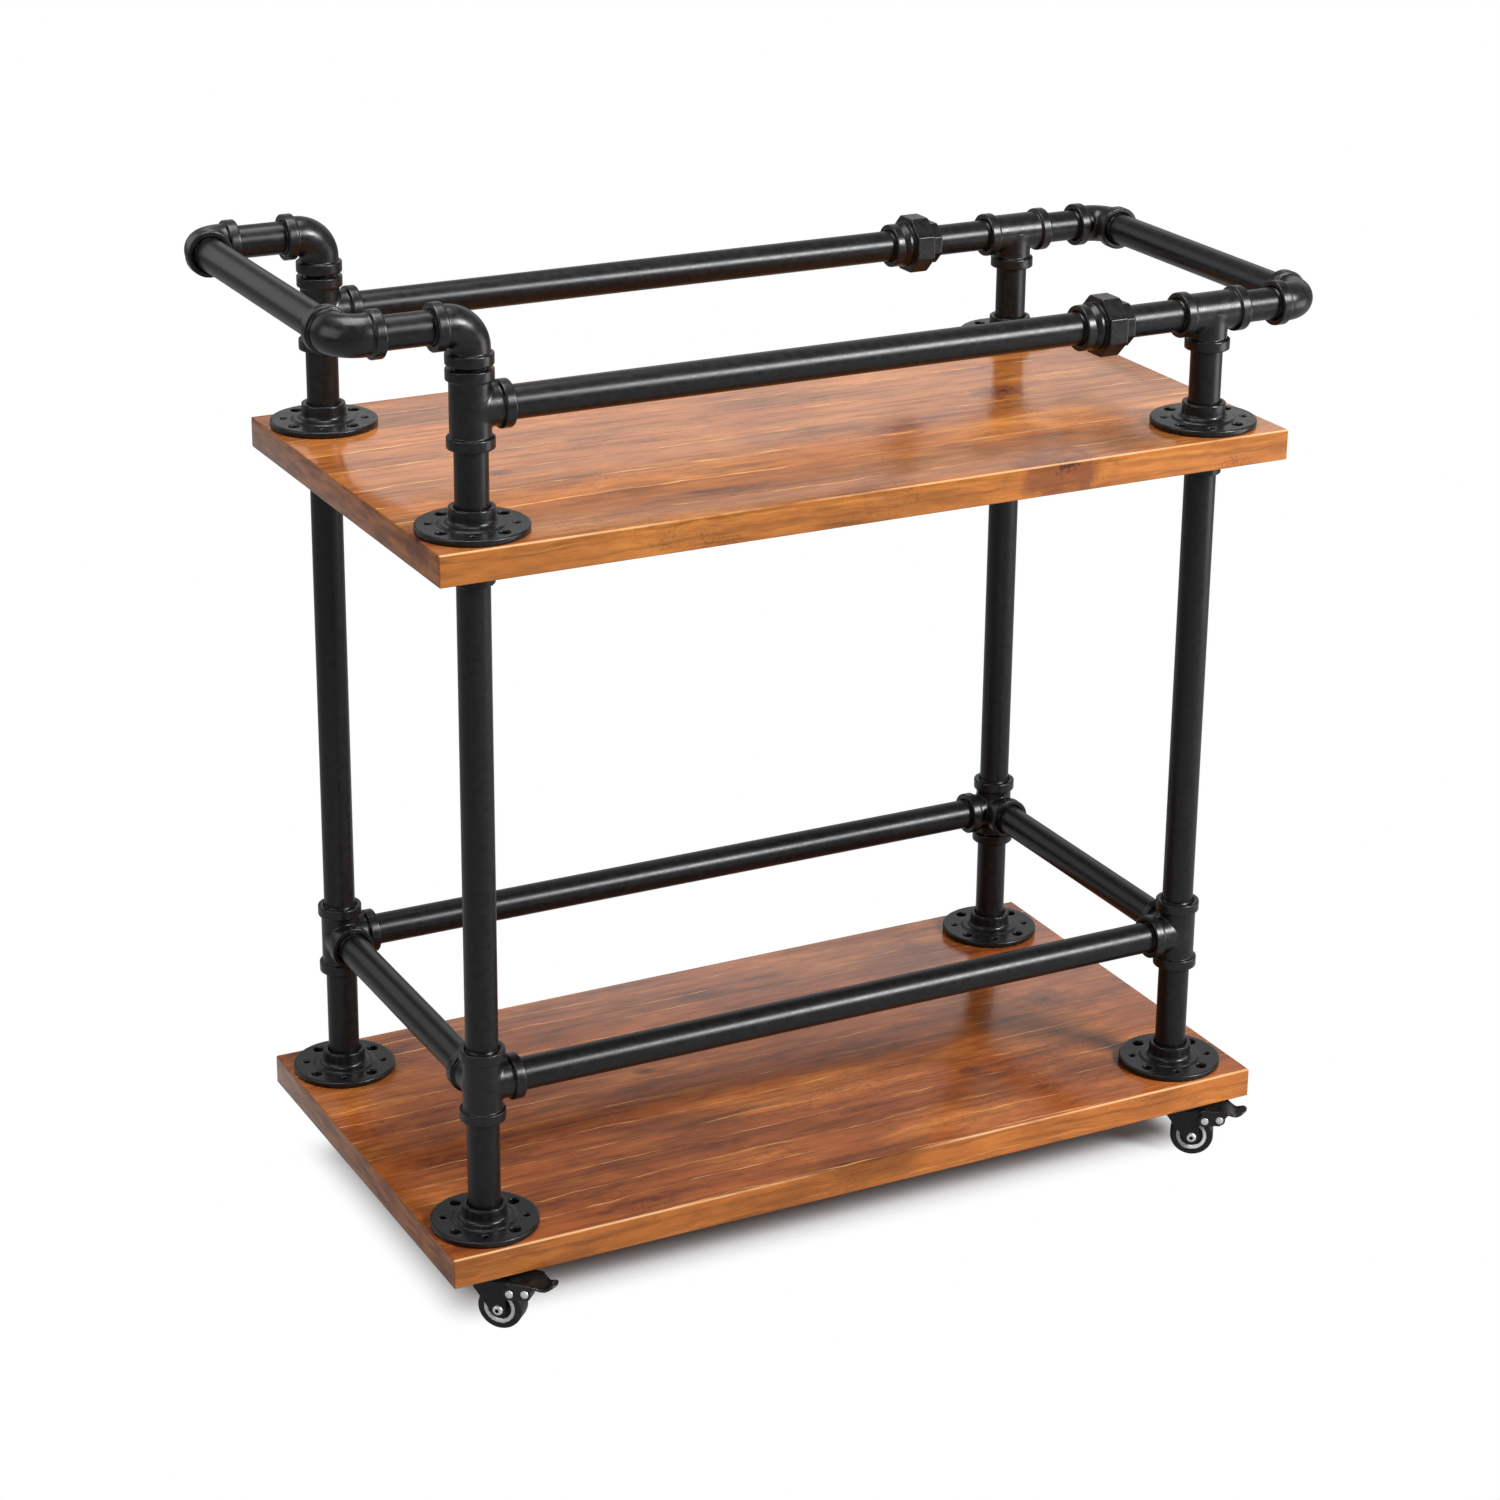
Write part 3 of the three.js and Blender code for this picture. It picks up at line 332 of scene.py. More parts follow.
def timber(name, half_size, offset, line_spacing, tones, knots):
    """Lacquered timber. tones are its dark, middle and light stain and its pale lines."""
    material, tree = new_material(name)
    coordinates = add_node(tree, "TexCoord").outputs
    here = coordinates["Object"]
    moved = reckon_vector(tree, "ADD", here, offset)
    grown = add_group(tree, figure, {"Vector": moved, "Line Spacing": line_spacing})
    dark, middle, light, pale = tones

    colour = tinted(tree, ranged(tree, grown["Mottle"], 0.26, 0.46), dark, middle)
    colour = tinted(tree, ranged(tree, grown["Mottle"], 0.46, 0.7), colour, light)
    shade = 1.0
    for trait, low, high, start, end in (
        ("Patch", 0.36, 0.5, 0.7, 1.03), ("Stave", 0.0, 1.0, 0.9, 1.08), ("Cloud", 0.32, 0.6, 0.86, 1.08),
        ("Streak", 0.36, 0.54, 0.72, 1.05), ("Fibre", 0.3, 0.6, 0.86, 1.04), ("Flake", 0.0, 1.0, 1.0, 0.7),
    ):
        shade = reckon(tree, "MULTIPLY", shade, ranged(tree, grown[trait], low, high, start, end))

    # The planed long edges take the stain more golden than the sanded faces, and get a painted lift of
    # light.
    normal = split(tree, coordinates["Normal"])
    on_edge, on_face, on_end = [reckon(tree, "ABSOLUTE", normal[axis]) for axis in "YZX"]
    colour = tinted(tree, ranged(tree, on_edge, 0.5, 0.9, 0.0, edge_tone_and_light_share), colour, golden_lit_edge)
    colour = add_node(tree, "VectorMath", {0: colour, 3: shade}, operation="SCALE").outputs[0]
    lined = reckon(tree, "MULTIPLY", grown["Line"], ranged(tree, on_face, 0.3, 0.9, 0.2, 0.65))
    colour = tinted(tree, lined, colour, pale)

    # End grain drinks more stain: it turns browner, and shows its year rings edge on.
    ringed = reckon_vector(tree, "MULTIPLY", moved, (60, 24, 150))
    rings = noise(tree, ringed, 1.0, 6.0, 0.62)["Fac"]
    blotch = tinted(tree, ranged(tree, rings, 0.36, 0.64), late_ring, early_ring)
    colour = tinted(tree, ranged(tree, on_end, 0.6, 0.9), colour, blotch)
    for centre, size in knots:
        eye = add_group(tree, knot, {"Vector": here, "Centre": centre, "Size": size})
        colour = tinted(tree, reckon(tree, "MULTIPLY", eye["Halo"], heartwood_share), colour, heartwood)
        colour = tinted(tree, eye["Dark"], colour, knot_eye)

    # The long upper arrises are rubbed paler and given a painted highlight: there edge and top are both
    # near.
    at = split(tree, here)
    from_edge = reckon(tree, "SUBTRACT", half_size.y, reckon(tree, "ABSOLUTE", at["Y"]))
    from_top = reckon(tree, "SUBTRACT", half_size.z, at["Z"])
    from_arris = reckon(tree, "MAXIMUM", from_edge, from_top)
    rubbed_and_highlit = ranged(tree, from_arris, 1.9 * MM, 0.6 * MM, 0.0, rubbed_and_highlight_share)
    rubbed_and_highlit = reckon(tree, "MULTIPLY", rubbed_and_highlit, ranged(tree, grown["Patch"], 0.35, 0.6))
    colour = tinted(tree, rubbed_and_highlit, colour, rubbed_and_highlit_wood)

    height = reckon(tree, "ADD", shade, grown["Line"])
    relief = add_node(tree, "Bump", {"Height": height, "Strength": 0.15, "Distance": 0.4 * MM}).outputs[0]
    gloss = ranged(tree, grown["Streak"], 0.3, 0.7, 0.18, 0.11)
    lacquer = add_node(tree, "BsdfPrincipled", {
        "Base Color": colour, "Roughness": gloss, "IOR": 1.45, "Normal": relief,
    })
    add_node(tree, "OutputMaterial", {"Surface": lacquer.outputs[0]})
    return material


def plank(name, size, ease, holes, hole_radius):
    """A plank about its own middle, with eased arrises and round holes through it."""
    skin = bmesh.new()
    bmesh.ops.create_cube(skin, size=1.0)
    bmesh.ops.scale(skin, vec=size, verts=skin.verts)
    bmesh.ops.bevel(skin, geom=skin.edges, offset=ease, segments=4, profile=0.5, affect="EDGES")
    mesh = mesh_of(name, skin)
    if holes:
        board = put(name, mesh)
        drill_skin = bmesh.new()
        for x, y in holes:
            bmesh.ops.create_cone(
                drill_skin, cap_ends=True, segments=48, radius1=hole_radius, radius2=hole_radius,
                depth=size[2] * 2, matrix=Matrix.Translation((x, y, 0)))
        drill = put("drill", mesh_of("drill", drill_skin))
        cut = board.modifiers.new("holes", "BOOLEAN")
        cut.operation = "DIFFERENCE"
        cut.object = drill
        drilled = board.evaluated_get(bpy.context.evaluated_depsgraph_get())
        mesh = bpy.data.meshes.new_from_object(drilled)
        mesh.name = name
        bpy.data.objects.remove(board)
        bpy.data.objects.remove(drill)
    mesh.shade_smooth()
    mesh.set_sharp_from_angle(angle=math.radians(40))
    return mesh


def fit_piece(name, mesh, where, solid=None, body="cart"):
    """Puts a piece where a matrix says, on the body that carries it, and hides the solid it stands for."""
    piece = put(name, mesh)
    piece.matrix_world = where
    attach(piece, body)
    if solid:
        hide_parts(solid)
    return piece


def middle_of(solid):
    low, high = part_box(solid)
    return (low + high) / 2


shelf_ease = 1.4 * MM
post_hole = 14.15 * MM
corners = ("front_left", "front_right", "back_left", "back_right")
orange_brown = ((0.16, 0.04, 0.01), (0.335, 0.105, 0.023), (0.465, 0.17, 0.037), (0.8, 0.4, 0.12))
red_brown = ((0.11, 0.021, 0.008), (0.32, 0.085, 0.02), (0.54, 0.175, 0.038), (0.88, 0.45, 0.14))
shelf_knots = {
    "bottom_shelf": (
        ((0.292, 0.0, 0.0135), 0.0085), ((0.16, -0.095, 0.0135), 0.003), ((-0.10, 0.03, 0.0135), 0.003),
    ),
    "top_shelf": (
        ((0.164, -0.203, 0.011), 0.012), ((-0.381, -0.16, 0.013), 0.009),
        ((-0.26, -0.032, 0.0135), 0.004), ((0.225, 0.0, 0.0135), 0.008),
    ),
}
for shelf, spacing, offset, tones, posts in (
    ("bottom_shelf", 0.029, (3.1, 1.7, 0.4), red_brown, ()),
    ("top_shelf", 0.046, (7.3, 4.2, 1.9), orange_brown, corners),
):
    low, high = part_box(shelf)
    size, middle = high - low, (low + high) / 2
    holes = [(middle_of("upper_post_" + corner) - middle).xy for corner in posts]
    mesh = plank(shelf, size, shelf_ease, holes, post_hole)
    mesh.materials.append(timber(shelf + "_timber", size / 2, offset, spacing, tones, shelf_knots[shelf]))
    board = fit_piece(shelf + "_board", mesh, Matrix.Translation(middle), shelf)
    lacquer_only.objects.link(board)
    all_but_lacquer.objects.link(board)
for entry in all_but_lacquer.collection_objects:
    entry.light_linking.link_state = "EXCLUDE"

# ----
# The eight floor flanges: malleable iron cast as a disc with a hub, drilled with a ring of
# holes by turns for bolts and for screws, and painted black. Four stand on each shelf and
# take the ends of the pipes.


def rounded_corner(out, past):
    """Distance to the corner of two faces, negative behind both."""
    return np.minimum(np.maximum(out, past), 0) + np.hypot(np.maximum(out, 0), np.maximum(past, 0))


def rounded_bar(across, along, radius, start, end, ease):
    """Distance to a round bar with eased ends, from start to end along its axis."""
    out = across - (radius - ease)
    past = np.abs(along - (start + end) / 2) - ((end - start) / 2 - ease)
    return rounded_corner(out, past) - ease


def blended(first, second, fillet):
    """Two forms run together with a fillet between them."""
    near = np.maximum(fillet - np.abs(first - second), 0) / fillet
    return np.minimum(first, second) - near * near * fillet / 4


def cut_from(form, hole, ease):
    """A form with a hole in it, whose rim is eased."""
    return -blended(-form, hole, ease)


def sand_skin(x, y, z):
    """The unevenness of a sand casting, a few hundredths of a millimetre deep."""
    wide = np.sin(0.61 * x + 1.9 * np.sin(0.43 * y)) * np.sin(0.53 * z + 1.4 * np.sin(0.37 * x + 0.9))
    fine = np.sin(1.47 * y + 1.2 * np.sin(1.13 * z + 0.5)) * np.sin(1.31 * x - 0.8 * np.sin(1.61 * y))
    return 0.015 * wide + 0.004 * fine


def cast(name, low, high, form, step, paint):
    """Skins a form, given as a distance in millimetres, with an even net of faces about a
    step wide, and sets each point exactly on its surface."""
    axes = [np.arange(a - 2 * step, b + 2.5 * step, step, dtype=np.float32) for a, b in zip(low, high)]
    field = form(*np.meshgrid(*axes, indexing="ij")) / step
    grid = openvdb.FloatGrid()
    grid.background = 3.0
    grid.copyFromArray(np.clip(field, -3, 3).astype(np.float32))
    points, _, faces = grid.convertToPolygons(isovalue=0.0)
    points = points.astype(np.float64) * step + [axis[0] for axis in axes]
    probe = 0.05
    for _ in range(2):
        slope = np.stack([
            form(*(points + probe * side).T) - form(*(points - probe * side).T)
            for side in np.eye(3)
        ], axis=1) / (2 * probe)
        steep = np.maximum((slope**2).sum(axis=1, keepdims=True), 0.25)
        points -= np.clip(form(*points.T)[:, None] / steep, -0.4 * step, 0.4 * step) * slope
    mesh = bpy.data.meshes.new(name)
    mesh.from_pydata(points * MM, [], faces[:, ::-1])
    mesh.shade_smooth()
    mesh.update()
    mesh.materials.append(paint)
    return mesh


flange_radius = 44.5
flange_thickness = 5.2
flange_height = 19.0
flange_hub = 18.2
flange_fillet = 4.0
flange_edge, hub_edge, boss_edge = 1.1, 0.9, 0.6
hole_edge, bore_edge = 0.6, 0.4
boss_radius, boss_rise, boss_fillet = 26.0, 1.3, 1.5
hole_circle = 33.5
bolt_hole, screw_hole = 4.6, 2.8
pipe_radius = 13.35
socket_radius = 13.65
mouth_radius = 15.0


def chamfer(across, inward):
    """The cone that opens a socket's mouth, inward from its rim."""
    return across - mouth_radius + np.maximum(inward, 0)


def flange_form(x, y, z):
    across = np.hypot(x, y)
    disc = rounded_bar(across, z, flange_radius, 0, flange_thickness, flange_edge)
    hub = rounded_bar(across, z, flange_hub, 0, flange_height, hub_edge)
    boss = rounded_bar(across, z, boss_radius, 0, flange_thickness + boss_rise, boss_edge)
    form = blended(blended(disc, boss, boss_fillet), hub, flange_fillet)
    for i in range(8):
        turn = (i + 0.5) * math.pi / 4
        hole = np.hypot(x - hole_circle * math.cos(turn), y - hole_circle * math.sin(turn))
        form = cut_from(form, hole - (bolt_hole if i % 2 == 0 else screw_hole), hole_edge)
    form = cut_from(form, across - socket_radius, bore_edge)
    return cut_from(form, chamfer(across, flange_height - z), bore_edge) + sand_skin(x, y, z)


# Paint on iron: a gloss that is cloudy between two levels, and a fine orange peel.
paint_skin, given = new_group("paint_skin", ["Vector"], ["Peel Size", "Dull", "Glossy"])
peel = noise(paint_skin, given["Vector"], reckon(paint_skin, "DIVIDE", 1.0, given["Peel Size"]), 3.0)
cloudy = ranged(paint_skin, noise(paint_skin, given["Vector"], 160.0, 4.0)["Fac"], 0.3, 0.7)
give(paint_skin, {
    "Height": peel["Fac"],
    "Roughness": mixed(paint_skin, cloudy, given["Glossy"], given["Dull"]),
    "Cloud": cloudy,
})


def painted(name, colour, dusty, peel_size, peel_depth, glossy, dull, specular, metallic=0.0, strength=0.35):
    """A painted, plated or moulded skin: its clean and dusty colours, the size and depth of
    its unevenness, its roughness where glossy and where dull, and how it shines."""
    material, tree = new_material(name)
    skin = add_group(tree, paint_skin, {
        "Vector": add_node(tree, "TexCoord").outputs["Object"], "Peel Size": peel_size,
        "Dull": dull, "Glossy": glossy,
    })
    relief = add_node(tree, "Bump", {"Height": skin["Height"], "Strength": strength, "Distance": peel_depth})
    coat = add_node(tree, "BsdfPrincipled", {
        "Base Color": tinted(tree, skin["Cloud"], colour, dusty), "Roughness": skin["Roughness"],
        "Specular IOR Level": specular, "Metallic": metallic, "Normal": relief.outputs[0],
    })
    add_node(tree, "OutputMaterial", {"Surface": coat.outputs[0]})
    return material


iron_black, iron_dusty = (0.0048, 0.005, 0.0053), (0.009, 0.0092, 0.0096)
fitting_paint = painted("fitting_paint", iron_black, iron_dusty, 1.3 * MM, 0.03 * MM, 0.25, 0.33, 0.36)
flange_mesh = cast(
    "flange", (-flange_radius, -flange_radius, 0),
    (flange_radius, flange_radius, flange_height), flange_form, 0.9, fitting_paint)


def foot_of(solid):
    """The place on the middle of a solid's underside."""
    low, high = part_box(solid)
    return Matrix.Translation(((low.x + high.x) / 2, (low.y + high.y) / 2, low.z))


for level in ("bottom", "top"):
    for corner in corners:
        solid = f"{level}_flange_{corner}"
        fit_piece(f"{level}_floor_flange_{corner}", flange_mesh, foot_of(solid), solid)

# ----
# The straight pipes: three-quarter-inch black iron pipe cut to length, threaded at both
# ends and screwed into the flanges and fittings. The legs hang under the top shelf from a
# collar that takes the short post above.


def turned(name, profile, paint, sides=56):
    """A wall of revolution round Z from a closed profile of (along, radius), in millimetres."""
    skin = bmesh.new()
    rings = []
    for along, radius in profile:
        ring = []
        for i in range(sides):
            turn = 2 * math.pi * i / sides
            spot = (radius * MM * math.cos(turn), radius * MM * math.sin(turn), along * MM)
            ring.append(skin.verts.new(spot))
        rings.append(ring)
    for near, far in zip(rings, rings[1:] + rings[:1]):
        for i in range(sides):
            j = (i + 1) % sides
            skin.faces.new((near[i], near[j], far[j], far[i]))
    bmesh.ops.recalc_face_normals(skin, faces=skin.faces)
    mesh = mesh_of(name, skin)
    mesh.shade_smooth()
    mesh.set_sharp_from_angle(angle=math.radians(35))
    mesh.materials.append(paint)
    return mesh


pipe_paint = painted("pipe_paint", iron_black, iron_dusty, 1.6 * MM, 0.025 * MM, 0.28, 0.34, 0.28)
pipe_bore = 10.45
thread_pitch = 1.81
thread_depth = 0.75
thread_start, thread_shown = 0.8, 12.0


def threaded_end():
    """The lower end of a pipe: its chamfer and the thread that goes into a fitting."""
    count = int((thread_shown - thread_start) / thread_pitch)
    step = (thread_shown - thread_start) / count
    points = [(0, pipe_radius - thread_depth - thread_start)]
    for i in range(count):
        points.append((thread_start + step * (i + 0.05), pipe_radius - thread_depth))
        points.append((thread_start + step * (i + 0.5), pipe_radius))
    return points


def fit_pipe(name, length, where, solid):
    """Fits a pipe with a thread at each end that stays inside its fitting."""
    top_end = [(length - along, radius) for along, radius in reversed(threaded_end())]
    profile = threaded_end() + top_end + [(length, pipe_bore), (0, pipe_bore)]
    fit_piece(name, turned(name, profile, pipe_paint), where, solid)


def turn_z_to(direction):
    return Vector(direction).to_track_quat("Z", "Y").to_matrix().to_4x4()


runs = (
    ("lower_post_", corners), ("upper_post_", corners),
    ("lower_rail_", ("front", "back", "left", "right")), ("upper_rail_", ("front", "back")),
)
pipes = {run + place: f"{run}pipe_{place}" for run, places in runs for place in places}
pipes.update({"handle_bar": "handle_pipe", "end_bar": "end_pipe"})
for solid, name in pipes.items():
    low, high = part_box(solid)
    size = high - low
    axis = max(range(3), key=lambda k: size[k])
    start, direction = (low + high) / 2, Vector()
    start[axis], direction[axis] = low[axis], 1
    fit_pipe(name, size[axis] / MM, Matrix.Translation(start) @ turn_z_to(direction), solid)

collar_radius = 17.0
collar_length = 16.0
collar_edge = 1.0
collar_socket_depth = 11.3
mouth_depth = 1.6
for corner in corners:
    solid = "leg_" + corner
    low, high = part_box(solid)
    length = (high.z - low.z) / MM
    neck = length - collar_length
    mesh = turned(solid, threaded_end() + [
        (neck - 0.6, pipe_radius), (neck, pipe_radius + 1.2), (neck, collar_radius - collar_edge),
        (neck + collar_edge, collar_radius), (length - collar_edge, collar_radius),
        (length, collar_radius - collar_edge), (length, mouth_radius),
        (length - mouth_depth, socket_radius), (length - collar_socket_depth, socket_radius),
        (length - collar_socket_depth, pipe_bore), (0, pipe_bore),
    ], pipe_paint)
    fit_piece("leg_pipe_" + corner, mesh, foot_of(solid), solid)

# ----
# The tees: malleable iron castings with a raised band round every mouth, tapped and
# painted. The four lower ones have a side outlet for the second rail; the four upper ones
# join the posts to the long rails. Branch and run meet in a saddle.

reach = 31.0
body_radius = 16.2
band_radius = 18.8
band_width = 9.0
band_ease = 0.9
shoulder_fillet = 1.2
saddle_fillet = 1.6
rim_ease = 0.3
casting_step = 0.8


def banded_mouth(across, along):
    return rounded_bar(across, along, band_radius, reach - band_width, reach, band_ease)


def outlet(across, along, start):
    """One arm of a fitting, from start out to its banded mouth."""
    arm = rounded_bar(across, along, body_radius, start, reach - 1, 0.5)
    return blended(arm, banded_mouth(across, along), shoulder_fillet)


def tapped(form, across, along, start=0):
    """The form bored for a pipe from start to its mouth, which is opened out at the rim."""
    bore = np.maximum(across - socket_radius, start - along)
    mouth = np.maximum(chamfer(across, reach - along), start - along)
    return cut_from(cut_from(form, bore, rim_ease), mouth, rim_ease)


def tee_form(with_side_outlet):
    def form(x, y, z):
        arms = [(np.hypot(x, y), z, -1.0), (np.hypot(x, y), -z, -1.0), (np.hypot(y, z), x, 0.0)]
        if with_side_outlet:
            arms.append((np.hypot(x, z), y, 0.0))
        body = np.minimum(outlet(*arms[0]), outlet(*arms[1]))
        for arm in arms[2:]:
            body = blended(body, outlet(*arm), saddle_fillet)
        for across, along, _ in arms:
            body = tapped(body, across, along)
        return body + sand_skin(x, y, z)
    return form


tee_low = (-band_radius, -band_radius, -reach)
side_outlet_tee = cast(
    "side_outlet_tee", tee_low, (reach, reach, reach), tee_form(True), casting_step, fitting_paint)
plain_tee = cast(
    "plain_tee", tee_low, (reach, band_radius, reach), tee_form(False), casting_step, fitting_paint)


def post_above(corner, height):
    """The point at a height on the middle line of a post."""
    middle = middle_of("lower_post_" + corner)
    return Vector((middle.x, middle.y, height))


lower_rail_height = middle_of("lower_rail_left").z
for corner, turns in (("front_left", 0), ("front_right", 1), ("back_right", 2), ("back_left", 3)):
    centre = Matrix.Translation(post_above(corner, lower_rail_height))
    turn = Matrix.Rotation(turns * math.pi / 2, 4, "Z")
    fit_piece("side_outlet_tee_" + corner, side_outlet_tee, centre @ turn,
              "lower_tee_" + corner)

upper_rail_height = middle_of("upper_rail_front").z
for corner in corners:
    centre = Matrix.Translation(post_above(corner, upper_rail_height))
    turn = Matrix.Rotation(math.pi / 2 if corner.endswith("right") else 0, 4, "Y")
    fit_piece("upper_pipe_tee_" + corner, plain_tee, centre @ turn, "upper_tee_" + corner)

# ----
# The elbows, cast like the tees, and the nipples, short pipes: at the left an elbow stands
# on each tee by a close nipple and a second one turns into the push handle; at the right
# one elbow a side turns into the end bar.

bend_radius = 19.0


def elbow_form(x, y, z):
    """An elbow from +X to +Y about its corner."""
    out = np.maximum(np.maximum(x, y) - bend_radius, 0)
    in_x, in_y = np.minimum(x, bend_radius) - bend_radius, np.minimum(y, bend_radius) - bend_radius
    across = np.hypot(np.hypot(in_x, in_y) - bend_radius, z)
    body = np.maximum(across - body_radius, out - (reach - 1 - bend_radius))
    mouths = ((np.hypot(y, z), x), (np.hypot(x, z), y))
    for mouth in mouths:
        body = blended(body, banded_mouth(*mouth), shoulder_fillet)
    body = cut_from(body, across - pipe_bore, rim_ease)
    for mouth in mouths:
        body = tapped(body, *mouth, bend_radius)
    return body + sand_skin(x, y, z)


elbow_mesh = cast(
    "elbow", (-band_radius, -band_radius, -band_radius), (reach, reach, band_radius),
    elbow_form, casting_step, fitting_paint)


def turned_to(first, second, centre):
    """The matrix that lays +X along first and +Y along second, about a centre."""
    first, second = Vector(first), Vector(second)
    turn = Matrix((first, second, first.cross(second))).transposed().to_4x4()
    return Matrix.Translation(centre) @ turn


handle_axis, end_axis = middle_of("handle_bar"), middle_of("end_bar")
thread_engaged = 10.0
engaged = reach - thread_engaged
rows = {"front": 1, "back": -1}
for row, inward in rows.items():
    riser_foot = post_above(row + "_left", handle_axis.z)
    tee_above = post_above(row + "_left", upper_rail_height)
    end_tee = post_above(row + "_right", end_axis.z)
    handle_corner = Vector((handle_axis.x, riser_foot.y, handle_axis.z))
    end_corner = Vector((end_axis.x, riser_foot.y, end_axis.z))
    for use, first, second, centre, neighbour in (
        ("riser", (0, 0, -1), (-1, 0, 0), riser_foot, tee_above),
        ("handle", (1, 0, 0), (0, inward, 0), handle_corner, riser_foot),
        ("end", (-1, 0, 0), (0, inward, 0), end_corner, end_tee),
    ):
        solid = f"{use}_elbow_{row}"
        where = turned_to(first, second, centre)
        fit_piece(f"{use}_pipe_elbow_{row}", elbow_mesh, where, solid)
        start = Matrix.Translation(centre + Vector(first) * engaged * MM)
        length = (neighbour - centre).length / MM - 2 * engaged
        fit_pipe(f"{use}_nipple_{row}", length, start @ turn_z_to(first), solid)

# ----
# The unions that close the two long rails: a banded end whose body swells to the joint, an
# eight-sided nut that draws the halves together, and the eight-sided tail, all cast iron,
# with a nipple from the tail to the tee.

union_band = 8.0
union_body = 9.0
union_swell = 19.6
swell_length = 4.5
nut_length = 17.0
nut_flats = 24.0
tail_length = 11.0
tail_flats = 17.7
union_length = union_band + union_body + nut_length + tail_length
union_step = casting_step * 0.8


def eight_sided(x, y, flats, ease):
    """Distance to an eight-sided bar, given half its width across the flats."""
    turned_x, turned_y = (x + y) * math.sqrt(0.5), (x - y) * math.sqrt(0.5)
    first = cut_from(np.abs(x) - flats, flats - np.abs(y), ease)
    second = cut_from(np.abs(turned_x) - flats, flats - np.abs(turned_y), ease)
    return cut_from(first, -second, ease)


def union_form(x, y, z):
    start = -union_length / 2
    body_start = start + union_band
    nut_start = body_start + union_body
    nut_end = nut_start + nut_length
    tail_end = nut_end + tail_length
    across = np.hypot(x, y)
    band = rounded_bar(across, z, band_radius, start, body_start, band_ease)
    swell = body_radius + (union_swell - body_radius) * np.clip((z - body_start) / swell_length, 0, 1)
    body = np.maximum(across - swell, np.maximum(start + 1 - z, z - nut_start - 2))
    nut_middle = (nut_start + nut_end) / 2
    from_middle = np.abs(z - nut_middle)
    nut = cut_from(eight_sided(x, y, nut_flats, 0.4), nut_length / 2 - from_middle, 0.5)
    nut_chamfer = (across - nut_flats - 1.1 + (from_middle - nut_length / 2) * 1.2) / 1.56
    nut = cut_from(nut, -nut_chamfer, rim_ease)
    tail = cut_from(eight_sided(x, y, tail_flats, 0.4), tail_end - z, 0.6)
    tail = np.maximum(tail, nut_middle - z)
    form = blended(blended(blended(band, body, shoulder_fillet), nut, 0.6), tail, 0.9)
    form = cut_from(form, across - socket_radius, rim_ease)
    for inward in (z - start, tail_end - z):
        form = cut_from(form, chamfer(across, inward), rim_ease)
    return form + sand_skin(x, y, z)


nut_reach = nut_flats * 1.1
union_mesh = cast(
    "union", (-nut_reach, -nut_reach, -union_length / 2),
    (nut_reach, nut_reach, union_length / 2), union_form, union_step, fitting_paint)
half_union = Vector(((union_length / 2 - thread_engaged) * MM, 0, 0))
z_to_x = Matrix.Rotation(math.pi / 2, 4, "Y")
for row in rows:
    low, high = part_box("upper_rail_" + row)
    middle = Vector((high.x, (low.y + high.y) / 2, upper_rail_height)) + half_union
    solid = "union_" + row
    fit_piece("rail_union_" + row, union_mesh, Matrix.Translation(middle) @ z_to_x, solid)
    start = middle + half_union
    end = post_above(row + "_right", upper_rail_height).x - engaged * MM
    fit_pipe("union_nipple_" + row, (end - start.x) / MM, Matrix.Translation(start) @ z_to_x, solid)

# ----
# The caster plates: a stamped steel square under each corner of the bottom shelf, held by
# four pan-head screws, with the ball race and the riveted king pin on which the fork turns.

plate_size = 42.0
plate_thickness = 2.2
plate_corner = 4.0
plate_hole = 2.3
screw_offset = 15.5
race_radius = 14.0
race_depth = 2.6
pin_radius = 3.6
pin_head = 1.6
swivel_gap = 0.4
fork_sheet = 2.0
race_foot = -plate_thickness - race_depth
crown_top = race_foot - swivel_gap
crown_floor = crown_top - fork_sheet
pin_foot = crown_floor - swivel_gap - pin_head
pressing_step = 0.55


def rounded_rectangle(u, v, half_u, half_v, ease):
    """Distance in plan to a rectangle with rounded corners."""
    return rounded_corner(np.abs(u) - (half_u - ease), np.abs(v) - (half_v - ease)) - ease


def plate_form(x, y, z):
    plan = rounded_rectangle(x, y, plate_size / 2, plate_size / 2, plate_corner)
    form = cut_from(plan, plate_thickness / 2 - np.abs(z + plate_thickness / 2), 0.6)
    return cut_from(form, np.hypot(np.abs(x) - screw_offset, np.abs(y) - screw_offset) - plate_hole, 0.3)


caster_paint = painted(
    "caster_paint", (0.0045, 0.0047, 0.005), (0.008, 0.0082, 0.0086), 0.7 * MM, 0.05 * MM, 0.3, 0.4, 0.32)
# Bright zinc plating, brushed cloudy by handling.
zinc = painted(
    "zinc_plate", (0.9, 0.9, 0.9), (0.72, 0.72, 0.72), 0.5 * MM, 0.05 * MM,
    0.24, 0.36, 0.5, metallic=0.7, strength=0.3)
plate_mesh = cast(
    "caster_plate", (-plate_size / 2, -plate_size / 2, -plate_thickness),
    (plate_size / 2, plate_size / 2, 0), plate_form, pressing_step, caster_paint)
race_mesh = turned("caster_race", [
    (-plate_thickness, 0.4), (-plate_thickness, race_radius - 0.6), (-plate_thickness - 0.8, race_radius),
    (race_foot + 0.8, race_radius), (race_foot, race_radius - 0.9), (race_foot, pin_radius),
    (pin_foot + pin_head, pin_radius), (pin_foot + pin_head, 5.2), (pin_foot + 1.0, 5.6),
    (pin_foot + 0.4, 5.1), (pin_foot, 3.8), (pin_foot, 0.4),
], caster_paint)
